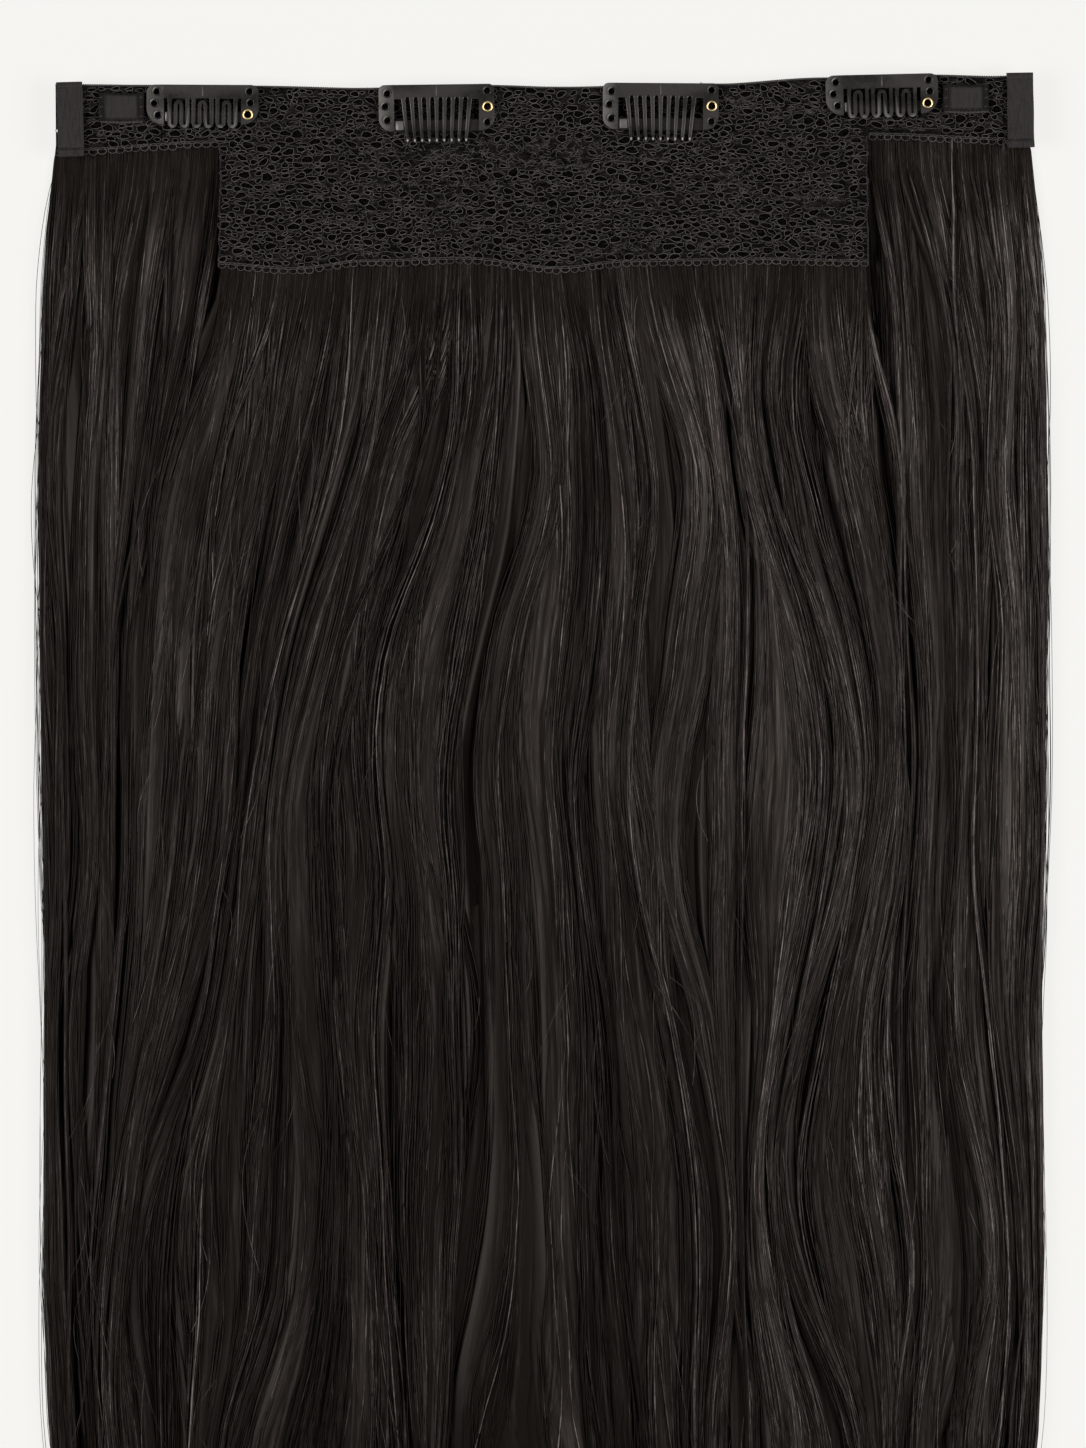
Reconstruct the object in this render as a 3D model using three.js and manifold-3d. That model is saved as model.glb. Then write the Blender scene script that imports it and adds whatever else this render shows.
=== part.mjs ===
// A halo hair extension that lies on its hair, clip side up. Millimetres.
// +X runs across the band, +Y from the tips to the band and +Z up from the surface it lies on.
// The origin is on that surface, below the middle of the part's box.
// A drop is a distance down the hair from the band's highest point, so y = BAND_TOP - drop.
import * as THREE from "three";
import { mergeVertices } from "three/addons/utils/BufferGeometryUtils.js";
import Module from "manifold-3d";

const wasm = await Module();
wasm.setup();

// Overall sizes.
const HAIR_LENGTH = 457;
const HAIR_HALF_WIDTH = 142.6;
const BAND_TOP = HAIR_LENGTH / 2;
const BAND_HALF_WIDTH = 136.8;
const FLAP_HALF_WIDTH = 91;
const SEAM = 0.3; // what one piece keeps from the next

// Lace wall: it lies level under the clips, then climbs on the swelling hair to the flap's lower edge.
const LACE_THICKNESS = 1.2;
const LACE_BED = 6;
const LACE_LEVEL_DROP = 22;
const LACE_CLIMB = 0.07;
const LACE_ROWS = 7;
const LACE_TOP = LACE_BED + LACE_THICKNESS;

// The lace's edges from left to right.
const TOP_EDGE = [
  { x: -137, drop: 2.9 },
  { x: -80, drop: 3.3 },
  { x: -52, drop: 3.9 },
  { x: -14, drop: 3.1 },
  { x: 3, drop: 3.6 },
  { x: 49, drop: 2.7 },
  { x: 78, drop: 1.0 },
  { x: 111, drop: 0.2 },
  { x: 126, drop: 0.6 },
  { x: 137, drop: 0.3 },
];
const BAND_LOWER_EDGE = [
  { x: -137, drop: 23.0 },
  { x: -91, drop: 20.6 },
  { x: 91, drop: 18.4 },
  { x: 137, drop: 20.0 },
];
const FLAP_LOWER_EDGE = [
  { x: -91, drop: 54.9, ripple: 0.2 },
  { x: -70, drop: 56.4, ripple: 1.0 },
  { x: -50, drop: 54.2, ripple: 0.3 },
  { x: -22, drop: 53.4, ripple: 0.0 },
  { x: 4, drop: 56.2, ripple: 1.0 },
  { x: 24, drop: 54.2, ripple: 0.3 },
  { x: 60, drop: 53.6, ripple: 0.0 },
  { x: 91, drop: 54.2, ripple: 0.3 },
];

// The mat of hair below the locks, down its length. Widths are shares of the hair's half width.
const MAT_COLUMNS = 16;
const MAT_RAGGED = 9; // how unevenly its lower end is cut
const MAT_EDGE_SHARE = 0.4; // height at the mat's sides, as a share of its middle
const MAT = [
  { drop: 6, width: 0.936, height: 5.7 },
  { drop: 14, width: 0.956, height: 5.7 },
  { drop: 22, width: 0.967, height: 5.7 },
  { drop: 40, width: 0.977, height: 6.9 },
  { drop: 60, width: 0.986, height: 8.3 },
  { drop: 95, width: 0.992, height: 9.6 },
  { drop: 150, width: 0.99, height: 10.2 },
  { drop: 210, width: 0.987, height: 10.2 },
  { drop: 270, width: 0.986, height: 10.0 },
  { drop: 330, width: 0.983, height: 9.4 },
  { drop: 380, width: 0.965, height: 7.8 },
  { drop: 408, width: 0.94, height: 4.4 },
];

// Locks on the mat.
const LOCK_COUNT = 23;
const LOCK_STATIONS = 12;
const LOCK_HALF_WIDTH = 8.6;
const LOCK_RELIEF = 3.0; // how far a lock's crown stands above the mat
const LOCK_RISE = 38; // length over which it comes out from under the lace
const LOCK_BED = 1.2;
const LOCK_TIP_RUN = 84; // length over which it tapers to its tip
const LOCK_SHORTEST = 420;
const LOCK_TIP = 0.22; // width of the tip, as a share of the lock's
const LOCK_SECTION = [
  { across: -1.0, up: 0.0 },
  { across: -0.72, up: 0.7 },
  { across: -0.25, up: 0.98 },
  { across: 0.25, up: 0.98 },
  { across: 0.72, up: 0.7 },
  { across: 1.0, up: 0.0 },
];
const WAVE_LENGTH = 232;
const WAVE_WIDTH = 6.4;

// Ribbon belt loops at the band's ends: sewn flat at both ends, clear of the lace between.
const END_LOOPS = [
  { name: "end_loop_left", x: -132.5, width: 7.3, top: 2.6, length: 20.8, turn: 1.5 },
  { name: "end_loop_right", x: 133.6, width: 7.5, top: 0.0, length: 20.9, turn: 1.0 },
];
const RIBBON = 0.8;
const RIBBON_FOLD = 3.2; // length of the doubled ribbon at each sewn end
const RIBBON_LIFT = 0.9;

// Woven wire tabs: a hem at both sides, with the open tunnel of the wire between.
const WIRE_TABS = [
  { name: "wire_tab_left", x: -118.2, length: 12.6, top: 5.7, width: 7.7 },
  { name: "wire_tab_right", x: 118.4, length: 12.6, top: 3.4, width: 7.2 },
];
const TAB_CLOTH = 0.8;
const TAB_HEM = 1.7;
const TAB_LIFT = 0.7;

// Snap clips, of spring sheet.
const CLIP_BED = LACE_TOP + SEAM;
const BAR_THICKNESS = 0.6;
const PLATE_THICKNESS = 1.4;
const COMB_THICKNESS = 0.6;
const COMB_BED = BAR_THICKNESS + SEAM;
const NECK = 0.3; // between the comb's spine and each end plate
const HOLE_RADIUS = 0.95;
const EYELET = { bore: 0.85, barrel: 1.1, seat: 1.4, flange: 1.7, rim: 0.45 };
const CLIPS = [
  { name: "clip_1", teeth: "looped", x: -95.4, top: 3.4, tilt: -0.3 },
  { name: "clip_2", teeth: "straight", x: -30.0, top: 3.3, tilt: 0.7 },
  { name: "clip_3", teeth: "straight", x: 32.9, top: 2.9, tilt: -0.4 },
  { name: "clip_4", teeth: "looped", x: 94.7, top: 0.5, tilt: 1.3 },
];
const STRAIGHT = {
  width: 32.4,
  height: 13.1,
  endWidth: 4.3,
  spine: 4.2,
  topCorner: 1.6,
  lowCorner: 3.8,
  barTop: -9.8,
  barLow: -13.1,
  holes: [
    { x: -13.8, y: -2.4 },
    { x: -14.4, y: -6.0 },
    { x: -13.8, y: -9.9 },
    { x: 14.2, y: -1.9 },
    { x: 14.2, y: -10.7 },
  ],
  eyelet: { x: 14.3, y: -6.4 },
  count: 9,
  rootSpan: 18.6,
  tipSpan: 16.4,
  rootWidth: 1.25,
  tipWidth: 0.9,
  reach: 16.0,
};
const LOOPED = {
  width: 31.4,
  height: 11.2,
  endWidth: 4.9,
  spine: 3.85,
  topCorner: 2.2,
  lowCorner: 4.7,
  barTop: -7.4,
  barLow: -10.4,
  holes: [
    { x: -12.9, y: -1.9 },
    { x: -13.6, y: -5.2 },
    { x: -12.5, y: -8.5 },
    { x: 13.1, y: -1.8 },
    { x: 13.4, y: -5.0 },
  ],
  eyelet: { x: 12.7, y: -8.3 },
  groups: 3,
  legPitch: 1.68,
  legWidth: 1.0,
  crest: -5.6, // centre of the turn at the top, between the two loops of a group
  reach: 12.1,
};

function rowAt(table, key, at, column) {
  const next = table.findIndex((row) => row[key] >= at);
  if (next === 0) return table[0][column];
  if (next === -1) return table[table.length - 1][column];
  const before = table[next - 1];
  const after = table[next];
  const share = (at - before[key]) / (after[key] - before[key]);
  return before[column] + share * (after[column] - before[column]);
}

function smoothRowAt(table, key, at, column) {
  const next = table.findIndex((row) => row[key] >= at);
  if (next === 0) return table[0][column];
  if (next === -1) return table[table.length - 1][column];
  const before = table[next - 1];
  const after = table[next];
  const share = THREE.MathUtils.smoothstep(at, before[key], after[key]);
  return before[column] + share * (after[column] - before[column]);
}

function solidFrom(geometry) {
  const bare = geometry.clone();
  bare.deleteAttribute("normal");
  bare.deleteAttribute("uv");
  const merged = mergeVertices(bare, 1e-4);
  return new wasm.Manifold(
    new wasm.Mesh({
      numProp: 3,
      vertProperties: new Float32Array(merged.attributes.position.array),
      triVerts: new Uint32Array(merged.index.array),
    }),
  );
}

function geometryFrom(solid) {
  const mesh = solid.getMesh();
  const geometry = new THREE.BufferGeometry();
  geometry.setAttribute("position", new THREE.BufferAttribute(mesh.vertProperties, 3));
  geometry.setIndex(new THREE.BufferAttribute(mesh.triVerts, 1));
  return geometry;
}

function fused(geometries) {
  return geometryFrom(wasm.Manifold.union(geometries.map(solidFrom)));
}

function geometryOf(positions, index) {
  const geometry = new THREE.BufferGeometry();
  geometry.setAttribute("position", new THREE.Float32BufferAttribute(positions, 3));
  geometry.setIndex(index);
  return geometry;
}

// A closed sheet on a grid: place(column, row) gives its x, y, low and high there. Rows run down the hair.
function gridSheet(columns, rows, place) {
  const positions = [];
  const index = [];
  const layer = columns * rows;
  const spots = [];
  for (let r = 0; r < rows; r++) {
    for (let c = 0; c < columns; c++) spots.push(place(c, r));
  }
  spots.forEach((spot) => positions.push(spot.x, spot.y, spot.low));
  spots.forEach((spot) => positions.push(spot.x, spot.y, spot.high));
  const at = (c, r) => r * columns + c;
  for (let r = 0; r < rows - 1; r++) {
    for (let c = 0; c < columns - 1; c++) {
      const [a, b, d, e] = [at(c, r), at(c + 1, r), at(c, r + 1), at(c + 1, r + 1)];
      index.push(a + layer, d + layer, e + layer, a + layer, e + layer, b + layer);
      index.push(a, e, d, a, b, e);
    }
  }
  const rim = [];
  for (let r = 0; r < rows - 1; r++) rim.push(at(0, r));
  for (let c = 0; c < columns - 1; c++) rim.push(at(c, rows - 1));
  for (let r = rows - 1; r > 0; r--) rim.push(at(columns - 1, r));
  for (let c = columns - 1; c > 0; c--) rim.push(at(c, 0));
  rim.forEach((from, i) => {
    const to = rim[(i + 1) % rim.length];
    index.push(from, to, to + layer, from, to + layer, from + layer);
  });
  return geometryOf(positions, index);
}

// A closed bar through rings of points, each ring turning the same way round.
function loft(rings) {
  const positions = rings.flat(2);
  const index = [];
  const n = rings[0].length;
  for (let k = 0; k < rings.length - 1; k++) {
    for (let i = 0; i < n; i++) {
      const j = (i + 1) % n;
      const [a, b] = [k * n + i, k * n + j];
      index.push(a, b, b + n, a, b + n, a + n);
    }
  }
  const last = (rings.length - 1) * n;
  for (let i = 1; i < n - 1; i++) {
    index.push(0, i + 1, i);
    index.push(last, last + i, last + i + 1);
  }
  return geometryOf(positions, index);
}

function laceBed(drop) {
  return LACE_BED + LACE_CLIMB * Math.max(0, drop - LACE_LEVEL_DROP);
}

function laceBase() {
  const wing = [-136.8, -125, -114, -102, -91.2];
  const flap = [-90.8, -80, -70, -60, -50, -36, -22, -9, 4, 14, 24, 42, 60, 76, 90.8];
  const stations = [...wing, ...flap, ...wing.map((x) => -x).reverse()];
  return gridSheet(stations.length, LACE_ROWS, (c, r) => {
    const x = stations[c];
    const inFlap = Math.abs(x) < FLAP_HALF_WIDTH;
    const top = smoothRowAt(TOP_EDGE, "x", x, "drop");
    const bottom = smoothRowAt(inFlap ? FLAP_LOWER_EDGE : BAND_LOWER_EDGE, "x", x, "drop");
    const drop = THREE.MathUtils.lerp(top, bottom, r / (LACE_ROWS - 1));
    const down = THREE.MathUtils.smoothstep(drop, LACE_LEVEL_DROP, 56);
    const ripple = inFlap ? smoothRowAt(FLAP_LOWER_EDGE, "x", x, "ripple") * down : 0;
    const low = laceBed(drop) + ripple;
    return { x, y: BAND_TOP - drop, low, high: low + LACE_THICKNESS };
  });
}

function matRow(drop, column) {
  return rowAt(MAT, "drop", drop, column);
}

function edgeShare(across) {
  return 1 - (1 - MAT_EDGE_SHARE) * Math.pow(Math.abs(across), 9);
}

function hairMat() {
  return gridSheet(MAT_COLUMNS, MAT.length, (c, r) => {
    const across = -1 + (2 * c) / (MAT_COLUMNS - 1);
    const { drop, width, height } = MAT[r];
    const ragged = r === MAT.length - 1 ? MAT_RAGGED * Math.sin(7 * c) : 0;
    return {
      x: across * width * HAIR_HALF_WIDTH,
      y: BAND_TOP - drop - ragged,
      low: 0,
      high: height * edgeShare(across),
    };
  });
}

// Where a lock that starts at a share of the half width has got to, sideways, at a drop.
function lockPath(share, drop, phase, halfWidth) {
  const loose = THREE.MathUtils.smoothstep(drop, 50, 170) * (1 - share * share);
  const swing = Math.sin((2 * Math.PI * (drop - 40)) / WAVE_LENGTH + phase);
  const room = matRow(drop, "width") * HAIR_HALF_WIDTH + 1 - halfWidth;
  return share * room + WAVE_WIDTH * loose * swing;
}

// Each lock comes out from under the lace's lower edge and tapers to its own tip.
function hairLock(i) {
  const share = -1 + (2 * i) / (LOCK_COUNT - 1);
  const rootX = share * BAND_HALF_WIDTH;
  const inFlap = Math.abs(rootX) < FLAP_HALF_WIDTH + 8;
  const edge = inFlap ? FLAP_LOWER_EDGE : BAND_LOWER_EDGE;
  const start = smoothRowAt(edge, "x", rootX, "drop") + 1.5;
  const longest = i === (LOCK_COUNT - 1) / 2;
  const end = longest ? HAIR_LENGTH : LOCK_SHORTEST + 34 * Math.abs(Math.sin(2.4 * i + 0.7));
  const phase = 1.1 * share * Math.PI + 0.35 * Math.sin(1.9 * i);
  const width = LOCK_HALF_WIDTH * (1 + 0.16 * Math.sin(2.7 * i + 0.4));
  const relief = LOCK_RELIEF * (0.78 + 0.22 * Math.cos(3.1 * i));
  const rings = [];
  for (let k = 0; k < LOCK_STATIONS; k++) {
    const drop = THREE.MathUtils.lerp(start, end, Math.pow(k / (LOCK_STATIONS - 1), 0.9));
    const rise = THREE.MathUtils.smoothstep(drop, start, start + LOCK_RISE);
    const tip = Math.max(0, (drop - end) / LOCK_TIP_RUN + 1);
    const crown = matRow(drop, "height") * edgeShare(share) - 0.6 + (relief + 0.6) * rise;
    const high = THREE.MathUtils.lerp(crown, 2.4, tip);
    const low = THREE.MathUtils.lerp(LOCK_BED, 0.5, tip);
    const half = width * (1 - (1 - LOCK_TIP) * tip * tip);
    const x = lockPath(share, drop, phase, width);
    rings.push(
      LOCK_SECTION.map(({ across, up }) => [
        x - across * half,
        BAND_TOP - drop,
        low + up * (high - low),
      ]),
    );
  }
  return loft(rings);
}

function hair() {
  const locks = Array.from({ length: LOCK_COUNT }, (_, i) => hairLock(i));
  return fused([hairMat(), ...locks]);
}

// A strip of cloth sewn flat at both ends and lifted between: its side profile is drawn along the strip.
function sewnStrip(length, width, cloth, hem, lift) {
  const round = 0.35;
  const profile = new THREE.Shape();
  profile.moveTo(0, 0);
  profile.lineTo(hem, 0);
  profile.lineTo(hem + 0.4, lift * 0.8);
  profile.lineTo(length * 0.3, lift);
  profile.lineTo(length * 0.7, lift);
  profile.lineTo(length - hem - 0.4, lift * 0.8);
  profile.lineTo(length - hem, 0);
  profile.lineTo(length, 0);
  profile.lineTo(length, 2 * cloth - round);
  profile.lineTo(length - round, 2 * cloth);
  profile.lineTo(length - hem, lift * 0.8 + cloth);
  profile.lineTo(length * 0.7, lift + cloth);
  profile.lineTo(length * 0.3, lift + cloth);
  profile.lineTo(hem, lift * 0.8 + cloth);
  profile.lineTo(round, 2 * cloth);
  profile.lineTo(0, 2 * cloth - round);
  const strip = new THREE.ExtrudeGeometry(profile, { depth: width, bevelEnabled: false });
  return strip.translate(-length / 2, 0, -width / 2);
}

function endLoop({ name, x, width, top, length, turn }) {
  const along = new THREE.Matrix4().makeBasis(
    new THREE.Vector3(0, -1, 0),
    new THREE.Vector3(0, 0, 1),
    new THREE.Vector3(-1, 0, 0),
  );
  const strip = sewnStrip(length, width, RIBBON, RIBBON_FOLD, RIBBON_LIFT).applyMatrix4(along);
  const mesh = new THREE.Mesh(strip);
  mesh.name = name;
  mesh.rotation.z = THREE.MathUtils.degToRad(turn);
  mesh.position.set(x, BAND_TOP - top - length / 2, LACE_TOP + SEAM);
  return mesh;
}

function wireTab({ name, x, length, top, width }) {
  const along = new THREE.Matrix4().makeBasis(
    new THREE.Vector3(1, 0, 0),
    new THREE.Vector3(0, 0, 1),
    new THREE.Vector3(0, -1, 0),
  );
  const strip = sewnStrip(length, width, TAB_CLOTH, TAB_HEM, TAB_LIFT).applyMatrix4(along);
  const mesh = new THREE.Mesh(strip);
  mesh.name = name;
  mesh.position.set(x, BAND_TOP - top - width / 2, LACE_TOP + SEAM);
  return mesh;
}

function sheetPlate(shape, thickness, segments = 4) {
  return new THREE.ExtrudeGeometry(shape, {
    depth: thickness,
    bevelEnabled: false,
    curveSegments: segments,
  });
}

// An end plate on the left (side -1) or right (side 1), from the clip's top edge down, with its holes.
function endPlate(clip, side) {
  const outer = clip.width / 2;
  const inner = outer - clip.endWidth;
  const low = -clip.height;
  const { topCorner, lowCorner } = clip;
  const shape = new THREE.Shape();
  shape.moveTo(inner, 0);
  shape.lineTo(inner, low);
  shape.lineTo(outer - lowCorner, low);
  shape.absarc(outer - lowCorner, low + lowCorner, lowCorner, -Math.PI / 2, 0, false);
  shape.lineTo(outer, -topCorner);
  shape.absarc(outer - topCorner, -topCorner, topCorner, 0, Math.PI / 2, false);
  const outline = shape.getPoints(5).map((p) => new THREE.Vector2(side * p.x, p.y));
  const flipped = new THREE.Shape(side > 0 ? outline : outline.reverse());
  clip.holes
    .filter((hole) => hole.x * side > 0)
    .forEach((hole) => flipped.holes.push(circle(hole, HOLE_RADIUS)));
  if (side > 0) flipped.holes.push(circle(clip.eyelet, EYELET.seat));
  return sheetPlate(flipped, PLATE_THICKNESS, 5);
}

function circle(centre, radius) {
  return new THREE.Path().absarc(centre.x, centre.y, radius, 0, 2 * Math.PI, true);
}

function clipFrame(clip) {
  const half = clip.width / 2 - clip.endWidth + 0.4;
  const bar = new THREE.Shape();
  bar.moveTo(-half, clip.barTop);
  bar.lineTo(-half, clip.barLow);
  bar.lineTo(half, clip.barLow);
  bar.lineTo(half, clip.barTop);
  return fused([endPlate(clip, -1), endPlate(clip, 1), sheetPlate(bar, BAR_THICKNESS)]);
}

// Straight teeth: one outline, down each tooth and up round the slot to the next.
function straightComb(clip) {
  const half = clip.width / 2 - clip.endWidth - NECK;
  const across = (span, i) => -span / 2 + (span * i) / (clip.count - 1);
  const shape = new THREE.Shape();
  shape.moveTo(-half, 0);
  shape.lineTo(-half, -clip.spine);
  for (let i = 0; i < clip.count; i++) {
    const root = across(clip.rootSpan, i);
    const tip = across(clip.tipSpan, i);
    const round = clip.tipWidth / 2;
    shape.lineTo(root - clip.rootWidth / 2, -clip.spine);
    shape.lineTo(tip - round, round - clip.reach);
    shape.absarc(tip, round - clip.reach, round, Math.PI, 2 * Math.PI, false);
    shape.lineTo(root + clip.rootWidth / 2, -clip.spine);
    if (i === clip.count - 1) break;
    const next = across(clip.rootSpan, i + 1);
    const slot = (next - root - clip.rootWidth) / 2;
    shape.absarc((root + next) / 2, -clip.spine, slot, Math.PI, 0, true);
  }
  shape.lineTo(half, -clip.spine);
  shape.lineTo(half, 0);
  return sheetPlate(shape, COMB_THICKNESS, 4);
}

// Looped teeth: each group is one strip that leaves the spine, makes two loops and comes back to it.
function loopedStrip(clip, group) {
  const { legPitch, legWidth, spine, crest, reach } = clip;
  const legs = [0, 1, 2, 3].map((leg) => legPitch * (4 * group + leg - 2 * clip.groups + 0.5));
  const turn = legPitch / 2;
  const foot = turn + legWidth / 2 - reach;
  const line = [new THREE.Vector2(legs[0], 0.4 - spine)];
  const arc = (from, to, y, side) => {
    for (let k = 0; k <= 5; k++) {
      const angle = Math.PI - (Math.PI * k) / 5;
      line.push(
        new THREE.Vector2(
          (from + to) / 2 + turn * Math.cos(angle),
          y + side * turn * Math.sin(angle),
        ),
      );
    }
  };
  arc(legs[0], legs[1], foot, -1);
  arc(legs[1], legs[2], crest, 1);
  arc(legs[2], legs[3], foot, -1);
  line.push(new THREE.Vector2(legs[3], 0.4 - spine));
  const side = (sign) =>
    line.map((point, i) => {
      const before = line[Math.max(0, i - 1)];
      const after = line[Math.min(line.length - 1, i + 1)];
      const along = after.clone().sub(before).normalize();
      const offset = new THREE.Vector2(-along.y, along.x).multiplyScalar((sign * legWidth) / 2);
      return point.clone().add(offset);
    });
  return sheetPlate(new THREE.Shape([...side(-1), ...side(1).reverse()]), COMB_THICKNESS);
}

function loopedComb(clip) {
  const half = clip.width / 2 - clip.endWidth - NECK;
  const spine = new THREE.Shape();
  spine.moveTo(-half, 0);
  spine.lineTo(-half, -clip.spine);
  spine.lineTo(half, -clip.spine);
  spine.lineTo(half, 0);
  const strips = Array.from({ length: clip.groups }, (_, group) => loopedStrip(clip, group));
  return fused([sheetPlate(spine, COMB_THICKNESS), ...strips]);
}

// A brass eyelet: a barrel through the plate under a rolled flange.
function eyelet() {
  const seat = PLATE_THICKNESS + SEAM;
  const { bore, barrel, flange, rim } = EYELET;
  const profile = [
    new THREE.Vector2(bore, 0.2),
    new THREE.Vector2(barrel, 0.2),
    new THREE.Vector2(barrel, seat),
    new THREE.Vector2(flange, seat),
    new THREE.Vector2(flange - 0.1, seat + 0.65 * rim),
    new THREE.Vector2((flange + bore) / 2, seat + rim),
    new THREE.Vector2(bore + 0.1, seat + 0.65 * rim),
    new THREE.Vector2(bore, seat),
    new THREE.Vector2(bore, 0.2),
  ];
  return new THREE.LatheGeometry(profile, 14).rotateX(Math.PI / 2);
}

function named(geometry, name) {
  const mesh = new THREE.Mesh(geometry);
  mesh.name = name;
  return mesh;
}

function snapClip({ name, teeth, x, top, tilt }) {
  const clip = teeth === "straight" ? STRAIGHT : LOOPED;
  const frame = named(clipFrame(clip), name + "_frame");
  const comb = named(teeth === "straight" ? straightComb(clip) : loopedComb(clip), name + "_comb");
  comb.position.z = COMB_BED;
  const ring = named(eyelet(), name + "_eyelet");
  ring.position.set(clip.eyelet.x, clip.eyelet.y, 0);
  const group = new THREE.Group();
  group.add(frame, comb, ring);
  group.position.set(x, BAND_TOP - top, CLIP_BED);
  group.rotation.z = THREE.MathUtils.degToRad(tilt);
  return group;
}

const halo = new THREE.Group();
halo.add(named(hair(), "hair"));
halo.add(named(laceBase(), "lace_base"));
END_LOOPS.forEach((loop) => halo.add(endLoop(loop)));
WIRE_TABS.forEach((tab) => halo.add(wireTab(tab)));
CLIPS.forEach((clip) => halo.add(snapClip(clip)));

export default halo;
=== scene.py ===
"""Dresses the halo hair extension: strands, openwork lace, ribbon loops, woven tabs and snap clips.

Lengths in the classes are millimetres in the part's own frame: +X across the band, +Y from the tips to
the band and +Z up from the ground. A drop is a distance down the hair from the band's highest point.
"""

from __future__ import annotations

import logging
import math
from collections.abc import Callable
from dataclasses import dataclass, field
from enum import Enum

import bmesh
import bpy
import numpy as np
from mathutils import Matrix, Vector
from mathutils.geometry import delaunay_2d_cdt

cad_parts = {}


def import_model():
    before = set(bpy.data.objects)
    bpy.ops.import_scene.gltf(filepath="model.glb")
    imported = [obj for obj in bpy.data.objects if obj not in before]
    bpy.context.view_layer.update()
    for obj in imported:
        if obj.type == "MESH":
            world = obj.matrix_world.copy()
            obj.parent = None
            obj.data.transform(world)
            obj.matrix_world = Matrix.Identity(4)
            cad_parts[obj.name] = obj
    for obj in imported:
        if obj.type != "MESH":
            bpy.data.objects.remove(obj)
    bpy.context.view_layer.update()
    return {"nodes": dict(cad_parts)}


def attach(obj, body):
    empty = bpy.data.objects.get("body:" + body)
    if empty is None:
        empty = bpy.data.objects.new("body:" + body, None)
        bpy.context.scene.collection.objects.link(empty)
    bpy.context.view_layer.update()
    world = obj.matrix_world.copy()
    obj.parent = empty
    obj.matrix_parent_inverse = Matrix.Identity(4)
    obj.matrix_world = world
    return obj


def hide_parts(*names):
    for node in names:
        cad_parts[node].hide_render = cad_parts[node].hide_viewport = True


LOG = logging.getLogger("halo")
MM = 0.001
BAND_TOP = 228.5
Array = np.ndarray
Pair = tuple[float, float]
Triple = tuple[float, float, float]
Table = list[Pair]
Colour = Triple
Stops = tuple[tuple[float, Colour], ...]
Chances = np.random.Generator
Object = bpy.types.Object
Material = bpy.types.Material
Socket = bpy.types.NodeSocket


class Body(Enum):
    """The moving bodies of the part."""

    HALO = "halo"
    COMB_1 = "comb_1"
    COMB_2 = "comb_2"
    COMB_3 = "comb_3"
    COMB_4 = "comb_4"


class Slot(Enum):
    """The record's material slots."""

    HAIR = "hair"
    LACE = "lace"
    RIBBON = "ribbon"
    LACQUER = "lacquer"
    BRASS = "brass"


class Teeth(Enum):
    """The two kinds of snap clip."""

    STRAIGHT = "straight"
    LOOPED = "looped"


def smoothstep(low: float, high: float, at: Array) -> Array:
    """Ease from 0 at low to 1 at high.

    Args:
        low: Where the step starts.
        high: Where it ends.
        at: The places to read it at.

    Returns:
        The eased share at each place.
    """
    share = np.clip((np.asarray(at, float) - low) / (high - low), 0.0, 1.0)
    return share * share * (3.0 - 2.0 * share)


def eased(table: Table, at: Array) -> Array:
    """Read a table of (place, value) rows, easing from row to row.

    Args:
        table: Rows in rising order of place.
        at: The places to read.

    Returns:
        The value at each place.
    """
    places = np.array([row[0] for row in table])
    values = np.array([row[1] for row in table])
    at = np.clip(np.asarray(at, float), places[0], places[-1])
    after = np.clip(np.searchsorted(places, at), 1, len(places) - 1)
    before = after - 1
    share = (at - places[before]) / (places[after] - places[before])
    share = share * share * (3.0 - 2.0 * share)
    return values[before] + share * (values[after] - values[before])


def straight(table: Table, at: Array) -> Array:
    """Read a table of (place, value) rows along straight lines."""
    return np.interp(at, [row[0] for row in table], [row[1] for row in table])


class Drift:
    """A smooth field of values from -1 to 1 over two coordinates, the same on every run."""

    def __init__(self, seed: int, size: int = 64) -> None:
        """Draw the field's grid.

        Args:
            seed: Which field it is.
            size: Cells of the grid each way.
        """
        self.size = size
        self.grid = np.random.default_rng(seed).uniform(-1.0, 1.0, (size, size))

    def at(self, u: Array, v: Array) -> Array:
        """Read the field.

        Args:
            u: First coordinate, one unit a cell.
            v: Second coordinate, one unit a cell.

        Returns:
            The eased value at each pair.
        """
        u, v = np.broadcast_arrays(np.asarray(u, float), np.asarray(v, float))
        i, j = np.floor(u).astype(int), np.floor(v).astype(int)
        a, b = u - i, v - j
        a, b = a * a * (3 - 2 * a), b * b * (3 - 2 * b)
        i0, i1, j0, j1 = i % self.size, (i + 1) % self.size, j % self.size, (j + 1) % self.size
        low = self.grid[i0, j0] * (1 - a) + self.grid[i1, j0] * a
        high = self.grid[i0, j1] * (1 - a) + self.grid[i1, j1] * a
        return low * (1 - b) + high * b


@dataclass
class Piece:
    """A finished Blender object with its material, what it rides on and its slot."""

    obj: Object
    body: Body
    slot: Slot
    material: Material

    def settle(self, *replaced: str) -> Object:
        """Dress the object, let it ride on its body and stand for CAD nodes.

        Args:
            replaced: Names of the nodes that the piece stands for.

        Returns:
            The object.
        """
        self.obj.data.materials.clear()
        self.obj.data.materials.append(self.material)
        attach(self.obj, self.body.value)
        if replaced:
            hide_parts(*replaced)
        LOG.info("%s: %d faces on %s", self.obj.name, len(self.obj.data.polygons), self.body.value)
        return self.obj


def linked(name: str, data: bpy.types.ID) -> Object:
    """Make an object of a mesh, light or camera.

    Args:
        name: The object's name.
        data: What it shows.

    Returns:
        The object, linked to the scene.
    """
    obj = bpy.data.objects.new(name, data)
    bpy.context.scene.collection.objects.link(obj)
    return obj


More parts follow.
